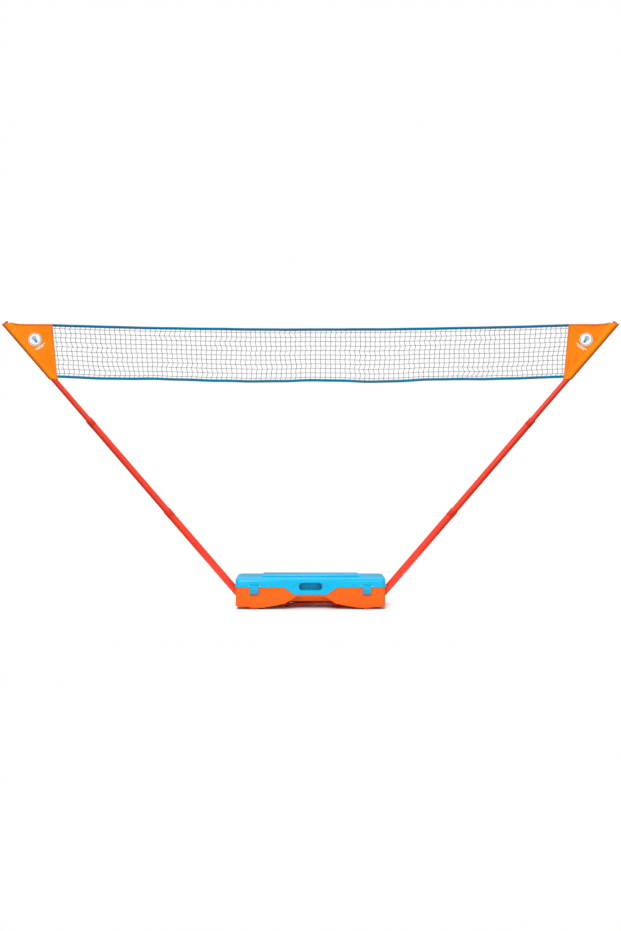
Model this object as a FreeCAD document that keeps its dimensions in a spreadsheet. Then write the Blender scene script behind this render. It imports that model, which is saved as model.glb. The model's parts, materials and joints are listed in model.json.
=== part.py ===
"""Portable badminton net: a carrying case that is also the stand, with two telescopic poles and a net.

Frame: origin on the floor under the middle of the case, X along the case, Y to its rear, Z up. Millimetres.
The case is a tray with a hinged lid. A telescopic pole leans out of a socket in each end of the tray, and the
net hangs between two fabric corner panels, each with a sleeve that is pulled over the tip of a pole.
"""

import FreeCAD, Part
import math
import os

import Sketcher

Vector = FreeCAD.Vector
Placement = FreeCAD.Placement
Rotation = FreeCAD.Rotation

SIDES = (("left", -1), ("right", 1))
ENDS = (("front", 1), ("rear", -1))

DRIVING_DIMENSIONS = (
    # the tray
    ("case_length", 720),
    ("case_depth", 218),
    ("case_corner", 20),
    ("wall", 3),
    ("parting_height", 106),
    ("skirt_end", 15),
    ("skirt_low", 8),
    ("skirt_low_at", 232),
    ("skirt_shoulder", 22),
    ("skirt_shoulder_at", 150),
    ("skirt_middle", 34),
    ("skirt_middle_at", 112),
    ("floor_under", 35),
    ("floor_thick", 3),
    ("arch_foot", 27),
    ("arch_foot_at", 124),
    ("arch_top", 63),
    ("arch_top_at", 67),
    ("arch_bead", 5),
    ("arch_bead_proud", 2),
    ("well_half", 134),
    ("well_depth", 42),
    ("flap_bottom", 72),
    ("flap_bottom_half", 78),
    ("flap_top_half", 127),
    ("flap_gap", 0.6),
    ("rib_thick", 2),
    ("rib_deep", 8),
    ("rib_first", 186),
    ("rib_pitch", 22),
    ("rib_count", 3),
    # the lid
    ("rim_over", 3),
    ("lid_gap", 0.4),
    ("lid_side", 128),
    ("lid_side_in", 3),
    ("lid_shoulder", 139),
    ("lid_shoulder_in", 9),
    ("lid_turn", 146),
    ("lid_turn_in_ends", 16),
    ("lid_turn_in_sides", 11.5),
    ("lid_crown", 150),
    ("lid_crown_in_ends", 26),
    ("lid_crown_in_sides", 21),
    ("lid_panel_top", 156),
    ("lid_panel_half", 226),
    ("lid_panel_front", -66),
    ("lid_panel_rear", 84),
    ("slot_half", 56),
    ("slot_low", 92),
    ("slot_high", 128),
    ("slot_corner", 17.5),
    ("recess_half", 90),
    ("recess_low", 87),
    ("recess_high", 134),
    ("recess_deep", 2),
    # latches and lid hinges
    ("latch_at", 270),
    ("latch_width", 42),
    ("latch_thick", 6.5),
    ("latch_pivot_height", 112),
    ("latch_pivot_depth", 111.4),
    ("latch_barrel", 4.5),
    ("latch_pin", 1.6),
    ("latch_low", 74),
    ("latch_lip", 2.5),
    ("hinge_at", 230),
    ("hinge_axis_depth", 113.9),
    ("hinge_axis_height", 106),
    ("hinge_barrel", 4.5),
    ("hinge_pin", 2),
    ("hinge_lid_knuckle", 34),
    ("hinge_tray_knuckle", 20),
    ("knuckle_gap", 0.5),
    ("running_gap", 0.05),
    # stabiliser legs and feet
    ("leg_pivot_x", 135),
    ("leg_pivot_y", 22),
    ("leg_width", 32),
    ("leg_end", 104),
    ("leg_foot_end", 164),
    ("leg_under", 9),
    ("leg_rise", 10),
    ("leg_thick", 9),
    ("leg_pin", 4),
    ("leg_head", 8),
    ("pad_at_x", 272),
    ("pad_at_y", 94),
    ("pad_length", 37),
    ("pad_width", 22),
    ("pad_thick", 8),
    # the poles, measured along their axis from the point where it is pole_start_height above the floor
    ("pole_start", 397),
    ("pole_start_height", 112),
    ("pole_tip_x", 1500),
    ("pole_tip_height", 1392.3),
    ("lower_radius", 17.8),
    ("middle_radius", 16),
    ("upper_radius", 13.2),
    ("tube_wall", 1.2),
    ("lower_bottom", -105),
    ("lower_top", 470),
    ("middle_top", 1056),
    ("tube_overlap", 45),
    ("socket_bottom", -110.5),
    ("socket_floor", 3),
    ("socket_wall", 4.5),
    ("slide_gap", 0.3),
    ("collar_length", 36),
    ("collar_lip", 4),
    ("collar_wall", 1.6),
    ("bush_head", 8),
    ("bush_spigot", 14),
    ("plug_head", 2.5),
    ("plug_spigot", 9),
    ("cap_head", 5),
    ("cap_spigot", 16),
    ("cap_over", 1),
    # the net
    ("tape_top", 1384),
    ("tape_bottom", 1121),
    ("tape_width", 12.5),
    ("tape_thick", 3),
    ("net_thick", 2),
    ("net_sag", 21),
    ("panel_top_in", 1267),
    ("panel_bottom_in", 1241),
    ("panel_thick", 3),
    ("seam_gap", 0.1),
    ("sleeve_wall", 1.5),
    ("sleeve_bottom", 1318),
)

doc = FreeCAD.newDocument("badminton_net")
sheet = doc.addObject("Spreadsheet::Sheet", "dims")
for row, (alias, size) in enumerate(DRIVING_DIMENSIONS, start=1):
    sheet.set(f"A{row}", alias)
    sheet.set(f"B{row}", str(size))
    sheet.setAlias(f"B{row}", alias)
doc.recompute()

SUB_PARTS = []


def size_of(formula):
    """The value of a sheet formula, as a plain number."""
    value = sheet.evalExpression(formula)
    return float(getattr(value, "Value", value))


def bind(thing, **formulas):
    """Binds properties to sheet formulas; a double underscore in a name stands for a dot."""
    for name, formula in formulas.items():
        thing.setExpression(name.replace("__", "."), formula)


def new_body(label):
    """A PartDesign body that becomes one of the sub-parts."""
    body = doc.addObject("PartDesign::Body", label)
    body.Label = label
    SUB_PARTS.append(body)
    return body


def finished(thing, label):
    """Names a Part feature as one of the sub-parts."""
    thing.Label = label
    SUB_PARTS.append(thing)
    return thing


def new_sketch(body, plane, offset="0"):
    """A sketch on one of the body's own planes, moved along the plane's normal by a sheet formula."""
    sketch = body.newObject("Sketcher::SketchObject", "sketch")
    origin_plane = next(f for f in body.Origin.OriginFeatures if f.Role == plane)
    sketch.AttachmentSupport = [(origin_plane, "")]
    sketch.MapMode = "FlatFace"
    bind(sketch, AttachmentOffset__Base__z=offset)
    return sketch


def hold_point(sketch, geometry, point, across=None, up=None):
    """Ties a point of the sketch to sheet formulas for its two coordinates."""
    for kind, formula in (("DistanceX", across), ("DistanceY", up)):
        if formula is not None:
            rule = Sketcher.Constraint(kind, -1, 1, geometry, point, size_of(formula))
            number = sketch.addConstraint(rule)
            sketch.setExpression(f"Constraints[{number}]", formula)


def hold_radius(sketch, geometry, formula):
    """Ties an arc's or a circle's radius to a sheet formula."""
    number = sketch.addConstraint(Sketcher.Constraint("Radius", geometry, size_of(formula)))
    sketch.setExpression(f"Constraints[{number}]", formula)


def arc_between(start, stop, radius):
    """The shorter arc that turns to the left on its way from start to stop."""
    chord = stop - start
    left = Vector(-chord.y, chord.x, 0).normalize()
    rise = math.sqrt(max(0, radius**2 - (chord.Length / 2) ** 2))
    centre = (start + stop) / 2 + left * rise
    turns = [math.atan2(place.y - centre.y, place.x - centre.x) for place in (start, stop)]
    circle = Part.Circle(centre, Vector(0, 0, 1), radius)
    return Part.ArcOfCircle(circle, turns[0], turns[1] if turns[1] > turns[0] else turns[1] + 2 * math.pi)


def polygon(sketch, corners, left_arcs=None, right_arcs=None):
    """A closed outline through corners given as pairs of sheet formulas, all held by the sketch.

    Its edges are straight, apart from those whose number is a key of left_arcs or right_arcs: these turn to
    the left or to the right on their way, with the radius that the dictionary gives as a sheet formula.
    """
    left_arcs = left_arcs or {}
    right_arcs = right_arcs or {}
    places = [Vector(size_of(across), size_of(up), 0) for across, up in corners]
    count = len(places)
    ends = []
    for index, place in enumerate(places):
        following = places[(index + 1) % count]
        if index in left_arcs:
            edge = arc_between(place, following, size_of(left_arcs[index]))
        elif index in right_arcs:
            edge = arc_between(following, place, size_of(right_arcs[index]))
        else:
            edge = Part.LineSegment(place, following)
        number = sketch.addGeometry(edge, False)
        ends.append((number, 2, 1) if index in right_arcs else (number, 1, 2))
    for index, (number, _, last) in enumerate(ends):
        following, first, _ = ends[(index + 1) % count]
        sketch.addConstraint(Sketcher.Constraint("Coincident", number, last, following, first))
    for (number, first, _), (across, up) in zip(ends, corners):
        hold_point(sketch, number, first, across, up)
    for index, radius in {**left_arcs, **right_arcs}.items():
        hold_radius(sketch, ends[index][0], radius)


def rectangle(sketch, low_x, low_y, high_x, high_y):
    """A rectangle between two corners given as sheet formulas."""
    polygon(sketch, ((low_x, low_y), (high_x, low_y), (high_x, high_y), (low_x, high_y)))


def rounded_rectangle(sketch, low_x, low_y, high_x, high_y, radius):
    """A rectangle with round corners, from sheet formulas."""
    corners = (
        (f"{low_x} + {radius}", low_y),
        (f"{high_x} - {radius}", low_y),
        (high_x, f"{low_y} + {radius}"),
        (high_x, f"{high_y} - {radius}"),
        (f"{high_x} - {radius}", high_y),
        (f"{low_x} + {radius}", high_y),
        (low_x, f"{high_y} - {radius}"),
        (low_x, f"{low_y} + {radius}"),
    )
    polygon(sketch, corners, left_arcs={index: radius for index in (1, 3, 5, 7)})


def round_hole(sketch, across, up, radius):
    """A circle whose centre and radius are sheet formulas."""
    centre = Vector(size_of(across), size_of(up), 0)
    number = sketch.addGeometry(Part.Circle(centre, Vector(0, 0, 1), size_of(radius)), False)
    hold_point(sketch, number, 3, across, up)
    hold_radius(sketch, number, radius)


def settled(body, feature):
    """Recomputes the document and stops if the feature has failed."""
    doc.recompute()
    if {"Invalid", "Error"} & set(feature.State):
        raise RuntimeError(f"{body.Label}: {feature.Name} failed: {feature.getStatusString()}")
    return feature


def pad(body, sketch, length):
    """Adds material from the sketch along its normal."""
    feature = body.newObject("PartDesign::Pad", "pad")
    feature.Profile = sketch
    bind(feature, Length=length)
    return settled(body, feature)


def pocket(body, sketch, length):
    """Removes material from the sketch against its normal, and checks that some went."""
    before = body.Shape.Volume
    feature = body.newObject("PartDesign::Pocket", "pocket")
    feature.Profile = sketch
    bind(feature, Length=length)
    settled(body, feature)
    if body.Shape.Volume > before - 1:
        raise RuntimeError(f"{body.Label}: a pocket cut nothing")
    return feature


def revolved(body, corners):
    """A turned piece about the body's own Z axis; each corner is (radius, height) in sheet formulas."""
    sketch = new_sketch(body, "XZ_Plane")
    polygon(sketch, corners)
    feature = body.newObject("PartDesign::Revolution", "turned")
    feature.Profile = sketch
    feature.ReferenceAxis = (sketch, ["V_Axis"])
    feature.Angle = 360
    return settled(body, feature)


def edges_where(shape, test):
    """Names of the shape's edges whose middle point and direction pass the test."""
    names = []
    for number, edge in enumerate(shape.Edges, start=1):
        middle = edge.valueAt((edge.FirstParameter + edge.LastParameter) / 2)
        along = edge.tangentAt(edge.FirstParameter)
        if test(middle, along):
            names.append(f"Edge{number}")
    return names


def rounded(body, radius, test):
    """Fillets the body's edges that pass the test."""
    tip = body.Tip
    names = edges_where(tip.Shape, test)
    if not names:
        raise RuntimeError(f"{body.Label}: no edge to round")
    feature = body.newObject("PartDesign::Fillet", "rounding")
    feature.Base = (tip, names)
    bind(feature, Radius=radius)
    return settled(body, feature)


def upright(along):
    return abs(along.z) > 0.9


def mirrored_corners(half):
    """An outline symmetric about the vertical axis, from the corners of its right half."""
    return tuple(half) + tuple((f"-({across})", up) for across, up in reversed(half))


# ---------------------------------------------------------------- the tray

HALF_LENGTH = "dims.case_length / 2"
HALF_DEPTH = "dims.case_depth / 2"
FLOOR_TOP = "dims.floor_under + dims.floor_thick"


def pole_placement(side):
    """Puts a piece made along Z on a pole's axis, with Z = 0 at the pole's start."""
    run = size_of("dims.pole_tip_x - dims.pole_start")
    rise = size_of("dims.pole_tip_height - dims.pole_start_height")
    lean = math.degrees(math.atan2(run, rise))
    start = Vector(side * size_of("dims.pole_start"), 0, size_of("dims.pole_start_height"))
    return Placement(start, Rotation(Vector(0, 1, 0), side * lean))


def base_tray():
    """The moulded tray: walls, floor, curved skirt, hand well with its arch, and the fittings moulded on it."""
    body = new_body("base_tray")
    outline = new_sketch(body, "XY_Plane", "dims.skirt_low")
    rectangle(outline, f"-{HALF_LENGTH}", f"-{HALF_DEPTH}", HALF_LENGTH, HALF_DEPTH)
    pad(body, outline, "dims.parting_height - dims.skirt_low")

    inner_x = f"({HALF_LENGTH} - dims.wall)"
    inner_y = f"({HALF_DEPTH} - dims.wall)"
    well_rear = f"(dims.well_depth - {HALF_DEPTH})"
    well_side = "(dims.well_half + dims.wall)"
    cavity = new_sketch(body, "XY_Plane", "dims.parting_height")
    right_half = (
        (well_side, f"{well_rear} + dims.wall"),
        (well_side, f"-{inner_y}"),
        (inner_x, f"-{inner_y}"),
        (inner_x, inner_y),
    )
    polygon(cavity, mirrored_corners(right_half))
    pocket(body, cavity, f"dims.parting_height - ({FLOOR_TOP})")

    underside = new_sketch(body, "XY_Plane", "dims.floor_under")
    rectangle(underside, f"-{inner_x}", f"-{inner_y}", inner_x, inner_y)
    pocket(body, underside, "dims.floor_under - dims.skirt_low")
    for radius, face_at in (("dims.case_corner - dims.wall", inner_x), ("dims.case_corner", HALF_LENGTH)):
        at = size_of(face_at)
        rounded(body, radius, lambda middle, along: upright(along) and abs(abs(middle.x) - at) < 0.5)

    well = new_sketch(body, "XY_Plane", "dims.parting_height + 1")
    rectangle(well, "-dims.well_half", f"-{inner_y}", "dims.well_half", well_rear)
    pocket(body, well, "dims.parting_height + 1")

    skirt = new_sketch(body, "XZ_Plane", f"{HALF_DEPTH} + 5")
    right_half = (
        (f"{HALF_LENGTH} + 5", "-5"),
        (f"{HALF_LENGTH} + 5", "dims.skirt_end"),
        (HALF_LENGTH, "dims.skirt_end"),
        ("dims.skirt_low_at", "dims.skirt_low"),
        ("dims.skirt_shoulder_at", "dims.skirt_shoulder"),
        ("dims.skirt_middle_at", "dims.skirt_middle"),
    )
    polygon(skirt, tuple(reversed(mirrored_corners(tuple(reversed(right_half))))))
    pocket(body, skirt, "dims.case_depth + 10")

    bead = new_sketch(body, "XZ_Plane", HALF_DEPTH)
    outer = (
        ("dims.arch_foot_at + dims.arch_bead * 1.6", "dims.arch_foot"),
        ("dims.arch_top_at + dims.arch_bead * 0.5", "dims.arch_top + dims.arch_bead"),
    )
    polygon(bead, mirrored_corners(outer))
    pad(body, bead, "dims.arch_bead_proud")

    arch = new_sketch(body, "XZ_Plane", f"{HALF_DEPTH} + 5")
    foot_slope = "(dims.arch_foot_at - dims.arch_top_at) / (dims.arch_top - dims.arch_foot)"
    half = (
        (f"dims.arch_foot_at + {foot_slope} * dims.arch_foot", "0"),
        ("dims.arch_top_at", "dims.arch_top"),
    )
    polygon(arch, mirrored_corners(half))
    pocket(body, arch, "dims.wall + 6")

    notch = new_sketch(body, "XZ_Plane", f"{HALF_DEPTH} + 5")
    half = (
        ("dims.flap_top_half + dims.flap_gap", "dims.parting_height + 5"),
        ("dims.flap_top_half + dims.flap_gap", "dims.parting_height"),
        ("dims.flap_bottom_half + dims.flap_gap", "dims.flap_bottom - dims.flap_gap"),
    )
    polygon(notch, mirrored_corners(half))
    pocket(body, notch, "dims.wall + 6")

    for _, side in SIDES:
        latch_bay(body, side)
        pole_notch(body, side)
        hinge_knuckles(body, side, "tray")
    for _, end in ENDS:
        leg_boss(body, end)
    pad_bosses(body)
    floor_ribs(body)
    return body


def latch_bay(body, side):
    """A thicker patch of the front wall with the shallow recess that the latch lies in."""
    middle = f"{side} * dims.latch_at"
    block = new_sketch(body, "XZ_Plane", f"{HALF_DEPTH} - dims.wall")
    rectangle(
        block,
        f"{middle} - dims.latch_width / 2 - 6",
        "dims.latch_low - 12",
        f"{middle} + dims.latch_width / 2 + 6",
        "dims.parting_height",
    )
    backing = pad(body, block, "dims.wall")
    backing.Reversed = True
    doc.recompute()
    recess = new_sketch(body, "XZ_Plane", f"{HALF_DEPTH} + 5")
    rectangle(
        recess,
        f"{middle} - dims.latch_width / 2 - 1.5",
        "dims.latch_low - 2",
        f"{middle} + dims.latch_width / 2 + 1.5",
        "dims.parting_height + 5",
    )
    pocket(body, recess, "5 + dims.wall")


def pole_notch(body, side):
    """The open-topped notch in an end wall and in the floor, which the pole's socket fills."""
    notch = new_sketch(body, "XY_Plane", "dims.parting_height + 5")
    reach = f"({HALF_LENGTH} + 5)"
    start = f"({HALF_LENGTH} - 66)"
    half_width = "(dims.lower_radius + dims.slide_gap + dims.socket_wall + 0.3)"
    low, high = (start, reach) if side > 0 else (f"-{reach}", f"-{start}")
    rectangle(notch, low, f"-{half_width}", high, half_width)
    pocket(body, notch, "dims.parting_height + 5 - (dims.floor_under - 8)")


def hinge_knuckles(body, side, owner):
    """Knuckles of one lid hinge: two on the tray, or the one between them on the lid."""
    middle = f"({side} * dims.hinge_at)"
    inner = "(dims.hinge_lid_knuckle / 2)"
    if owner == "lid":
        spans = ((f"{middle} + {inner}", "dims.hinge_lid_knuckle"),)
    else:
        gap = "dims.knuckle_gap"
        width = "dims.hinge_tray_knuckle"
        spans = (
            (f"{middle} + {inner} + {gap} + {width}", width),
            (f"{middle} - {inner} - {gap}", width),
        )
    if owner == "lid":
        relief = new_sketch(body, "YZ_Plane", f"{middle} + 60")
        round_hole(relief, "dims.hinge_axis_depth", "dims.hinge_axis_height", "dims.hinge_barrel + 0.5")
        pocket(body, relief, "120")
    web_side = 1 if owner == "lid" else -1
    for end, width in spans:
        knuckle = new_sketch(body, "YZ_Plane", f"{end} - {width}")
        round_hole(knuckle, "dims.hinge_axis_depth", "dims.hinge_axis_height", "dims.hinge_barrel")
        pad(body, knuckle, width)
        web = new_sketch(body, "YZ_Plane", f"{end} - {width}")
        inner_face = f"{HALF_DEPTH} - 1" if owner == "tray" else f"{HALF_DEPTH}"
        rectangle(
            web,
            inner_face,
            f"dims.hinge_axis_height + {min(0, web_side) * 5} + {max(0, web_side) * 0.5}",
            "dims.hinge_axis_depth",
            f"dims.hinge_axis_height + {max(0, web_side) * 5}",
        )
        pad(body, web, width)
        bore = new_sketch(body, "YZ_Plane", f"{end} + 1")
        fit = "dims.hinge_pin" if owner == "tray" else "dims.hinge_pin + dims.running_gap"
        round_hole(bore, "dims.hinge_axis_depth", "dims.hinge_axis_height", fit)
        pocket(body, bore, f"{width} + 2")


def leg_boss(body, end):
    """The boss under the floor that a stabiliser leg turns on."""
    boss = new_sketch(body, "XY_Plane", "dims.leg_under + dims.leg_thick + 0.5")
    round_hole(boss, f"{-end} * dims.leg_pivot_x", f"{-end} * dims.leg_pivot_y", "dims.leg_width / 2 - 3")
    pad(body, boss, "dims.floor_under - dims.leg_under - dims.leg_thick - 0.5")
    hole = new_sketch(body, "XY_Plane", FLOOR_TOP)
    round_hole(hole, f"{-end} * dims.leg_pivot_x", f"{-end} * dims.leg_pivot_y", "dims.leg_pin")
    pocket(body, hole, f"{FLOOR_TOP}")


def pad_bosses(body):
    """Four blocks under the floor, each with a foot pad below it."""
    for x_side in (-1, 1):
        for y_side in (-1, 1):
            boss = new_sketch(body, "XY_Plane", "dims.pad_thick")
            x_mid = f"{x_side} * dims.pad_at_x"
            y_mid = f"{y_side} * dims.pad_at_y"
            rectangle(
                boss,
                f"{x_mid} - dims.pad_length / 2 - 1",
                f"{y_mid} - dims.pad_width / 2 - 1",
                f"{x_mid} + dims.pad_length / 2 + 1",
                f"{y_mid} + dims.pad_width / 2 + 1",
            )
            pad(body, boss, "dims.floor_under - dims.pad_thick")


def floor_ribs(body):
    """Cross ribs under each end of the floor, between the stowed legs and the foot pads."""
    inner_y = f"({HALF_DEPTH} - dims.wall)"
    for side in (-1, 1):
        for number in range(int(size_of("dims.rib_count"))):
            rib = new_sketch(body, "XY_Plane", "dims.floor_under - dims.rib_deep")
            middle = f"{side} * (dims.rib_first + {number} * dims.rib_pitch)"
            half = "dims.rib_thick / 2"
            rectangle(rib, f"{middle} - {half}", f"-{inner_y}", f"{middle} + {half}", inner_y)
            pad(body, rib, "dims.rib_deep")


def foot_pads():
    """Four rubber pads, one solid each, that the case stands on."""
    pads = []
    for x_side in (-1, 1):
        for y_side in (-1, 1):
            block = doc.addObject("Part::Box", "foot_pad")
            bind(
                block,
                Length="dims.pad_length",
                Width="dims.pad_width",
                Height="dims.pad_thick",
                Placement__Base__x=f"{x_side} * dims.pad_at_x - dims.pad_length / 2",
                Placement__Base__y=f"{y_side} * dims.pad_at_y - dims.pad_width / 2",
            )
            pads.append(block)
    group = doc.addObject("Part::Compound", "foot_pads")
    group.Links = pads
    finished(group, "foot_pads")


def pole_socket(name, side):
    """The moulded socket that the pole's foot drops into, with a flange on the tray's floor."""
    radius = size_of("dims.lower_radius + dims.slide_gap")
    outside = radius + size_of("dims.socket_wall")
    bottom = size_of("dims.socket_bottom")
    place = pole_placement(side)
    barrel = Part.makeCylinder(outside, 160, Vector(0, 0, bottom))
    bore = Part.makeCylinder(radius, 300, Vector(0, 0, bottom + size_of("dims.socket_floor")))
    barrel.Placement = place
    bore.Placement = place
    inner_end = size_of(HALF_LENGTH)
    flange = Part.makeBox(72, 2 * outside + 12, 4, Vector(inner_end - 3 - 72, -outside - 6, size_of(FLOOR_TOP)))
    keep = Part.makeBox(200, 2 * outside, 94, Vector(inner_end - 200, -outside, 12))
    if side < 0:
        flange = flange.mirror(Vector(0, 0, 0), Vector(1, 0, 0))
        keep = keep.mirror(Vector(0, 0, 0), Vector(1, 0, 0))
    solid = barrel.common(keep).fuse(flange).cut(bore)
    socket = doc.addObject("Part::Feature", f"{name}_pole_socket")
    socket.Shape = solid.removeSplitter()
    finished(socket, f"{name}_pole_socket")


# ---------------------------------------------------------------- the lid

LID_BOTTOM = "(dims.parting_height + dims.lid_gap)"
RIM_X = f"({HALF_LENGTH} + dims.rim_over)"
RIM_Y = f"({HALF_DEPTH} + dims.rim_over)"


def lid_loft(body, kind, inset, drop):
    """The lid's outer form, or with an inset and a drop the hollow inside it."""
    levels = (
        (LID_BOTTOM, "0", "0", "0"),
        ("dims.lid_side", "dims.lid_side_in", "dims.lid_side_in / 2", drop),
        ("dims.lid_shoulder", "dims.lid_shoulder_in", "dims.lid_shoulder_in / 2", drop),
        ("dims.lid_turn", "dims.lid_turn_in_ends", "dims.lid_turn_in_sides", drop),
        ("dims.lid_crown", "dims.lid_crown_in_ends", "dims.lid_crown_in_sides", drop),
    )
    sections = []
    for height, ends_in, sides_in, lower in levels:
        sketch = new_sketch(body, "XY_Plane", f"{height} - {lower}")
        half_x = f"({RIM_X} - {ends_in} - {inset})"
        half_y = f"({RIM_Y} - {sides_in} - {inset})"
        rounded_rectangle(sketch, f"-{half_x}", f"-{half_y}", half_x, half_y, f"(dims.case_corner - {inset})")
        sections.append(sketch)
    doc.recompute()
    feature = body.newObject(f"PartDesign::{kind}Loft", "loft")
    feature.Profile = sections[0]
    feature.Sections = sections[1:]
    feature.Ruled = True
    return settled(body, feature)


def lid():
    """The moulded lid with its handle flap, finger slot, hand well, raised panel and latch lugs."""
    body = new_body("lid")
    lid_loft(body, "Additive", "0", "0")
    panel = new_sketch(body, "XZ_Plane", "-dims.lid_panel_rear")
    half = (
        ("dims.lid_panel_half + 8", "dims.lid_crown - 3"),
        ("dims.lid_panel_half - 6", "dims.lid_panel_top"),
    )
    polygon(panel, mirrored_corners(half))
    pad(body, panel, "dims.lid_panel_rear - dims.lid_panel_front")
    lid_loft(body, "Subtractive", "dims.wall", "dims.wall")

    flap = new_sketch(body, "XZ_Plane", f"{RIM_Y} - dims.wall - 2")
    half = (
        ("dims.flap_bottom_half", "dims.flap_bottom"),
        ("dims.flap_top_half", "dims.parting_height"),
        ("dims.flap_top_half", "dims.lid_side - 2"),
    )
    polygon(flap, mirrored_corners(half))
    pad(body, flap, "dims.wall + 2")

    well = new_sketch(body, "XY_Plane", LID_BOTTOM)
    rear = f"(dims.well_depth - {HALF_DEPTH})"
    rectangle(
        well,
        "-(dims.well_half + dims.wall)",
        f"-{HALF_DEPTH} + 1",
        "dims.well_half + dims.wall",
        f"{rear} + dims.wall",
    )
    pad(body, well, f"dims.lid_shoulder - {LID_BOTTOM}")
    hollow = new_sketch(body, "XY_Plane", "dims.lid_shoulder - dims.wall")
    rectangle(hollow, "-dims.well_half", f"-{HALF_DEPTH} + 2", "dims.well_half", rear)
    pocket(body, hollow, "dims.lid_shoulder")

    recess = new_sketch(body, "XZ_Plane", f"{RIM_Y} + 5")
    lens(recess, "dims.recess_half", "dims.recess_low", "dims.recess_high")
    pocket(body, recess, "5 + dims.recess_deep")
    slot = new_sketch(body, "XZ_Plane", f"{RIM_Y} + 5")
    rounded_rectangle(
        slot, "-dims.slot_half", "dims.slot_low", "dims.slot_half", "dims.slot_high", "dims.slot_corner"
    )
    pocket(body, slot, "15")

    for _, side in SIDES:
        latch_lugs(body, side)
        hinge_knuckles(body, side, "lid")
        lid_pole_arch(body, side)
    return body


def lens(sketch, half, low, high):
    """A lens outline: two arcs that meet at its ends."""
    rise = f"(({high} - {low}) / 2)"
    middle = f"({high} + {low}) / 2"
    radius = f"({half} * {half} + {rise} * {rise}) / (2 * {rise})"
    polygon(sketch, ((f"-{half}", middle), (half, middle)), left_arcs={0: radius, 1: radius})


def latch_lugs(body, side):
    """Thicker wall at a latch, with the gap in the rim that the latch's barrel turns in."""
    middle = f"({side} * dims.latch_at)"
    lug = new_sketch(body, "XZ_Plane", f"{HALF_DEPTH} - 5")
    rectangle(
        lug,
        f"{middle} - dims.latch_width / 2 - 8",
        LID_BOTTOM,
        f"{middle} + dims.latch_width / 2 + 8",
        "dims.latch_pivot_height + 10",
    )
    pad(body, lug, "5")
    gap = new_sketch(body, "XZ_Plane", f"{RIM_Y} + 5")
    rectangle(
        gap,
        f"{middle} - dims.latch_width / 2 - dims.knuckle_gap",
        "dims.parting_height - 5",
        f"{middle} + dims.latch_width / 2 + dims.knuckle_gap",
        "dims.latch_pivot_height + dims.latch_barrel + 1.5",
    )
    pocket(body, gap, "5 + dims.rim_over + 5.5")
    bore = new_sketch(body, "YZ_Plane", f"{middle} + dims.latch_width / 2 + 6")
    round_hole(bore, "-dims.latch_pivot_depth", "dims.latch_pivot_height", "dims.latch_pin")
    pocket(body, bore, "dims.latch_width + 12")


def lid_pole_arch(body, side):
    """A low arch in the lid's end that clears the pole."""
    arch = new_sketch(body, "YZ_Plane", f"{RIM_X} + 5" if side > 0 else f"-{RIM_X} + 20")
    half_width = "(dims.lower_radius + 5)"
    half = (
        (half_width, "dims.parting_height - 5"),
        (half_width, "dims.parting_height + 8"),
        (f"{half_width} - 7", "dims.parting_height + 15"),
    )
    polygon(arch, mirrored_corners(half))
    pocket(body, arch, "25")


def latch(name, side):
    """A front latch: its barrel, its plate and the finger lip at the bottom."""
    body = new_body(f"{name}_latch")
    start = f"({side} * dims.latch_at - dims.latch_width / 2)"
    barrel = new_sketch(body, "YZ_Plane", start)
    round_hole(barrel, "-dims.latch_pivot_depth", "dims.latch_pivot_height", "dims.latch_barrel")
    pad(body, barrel, "dims.latch_width")
    face = "(dims.latch_pivot_depth + dims.latch_barrel)"
    plate = new_sketch(body, "YZ_Plane", start)
    polygon(
        plate,
        (
            (f"-{face}", "dims.latch_pivot_height"),
            (f"-{face}", "dims.latch_low + 6"),
            (f"-{face} - dims.latch_lip", "dims.latch_low + 3"),
            (f"-{face} - dims.latch_lip", "dims.latch_low"),
            (f"-{face} + dims.latch_thick", "dims.latch_low"),
            (f"-{face} + dims.latch_thick", "dims.latch_pivot_height - 4"),
            ("-dims.latch_pivot_depth", "dims.latch_pivot_height"),
        ),
    )
    pad(body, plate, "dims.latch_width")
    bore = new_sketch(body, "YZ_Plane", f"{start} + dims.latch_width + 1")
    clearance = "dims.latch_pin + dims.running_gap"
    round_hole(bore, "-dims.latch_pivot_depth", "dims.latch_pivot_height", clearance)
    pocket(body, bore, "dims.latch_width + 2")


def pin_along_x(label, start, length, depth, height, radius):
    """A plain pin that lies along X."""
    pin = doc.addObject("Part::Cylinder", label)
    pin.Placement = Placement(Vector(0, 0, 0), Rotation(Vector(0, 1, 0), 90))
    bind(
        pin,
        Radius=radius,
        Height=length,
        Placement__Base__x=start,
        Placement__Base__y=depth,
        Placement__Base__z=height,
    )
    finished(pin, label)


# ---------------------------------------------------------------- the stabiliser legs


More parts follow.
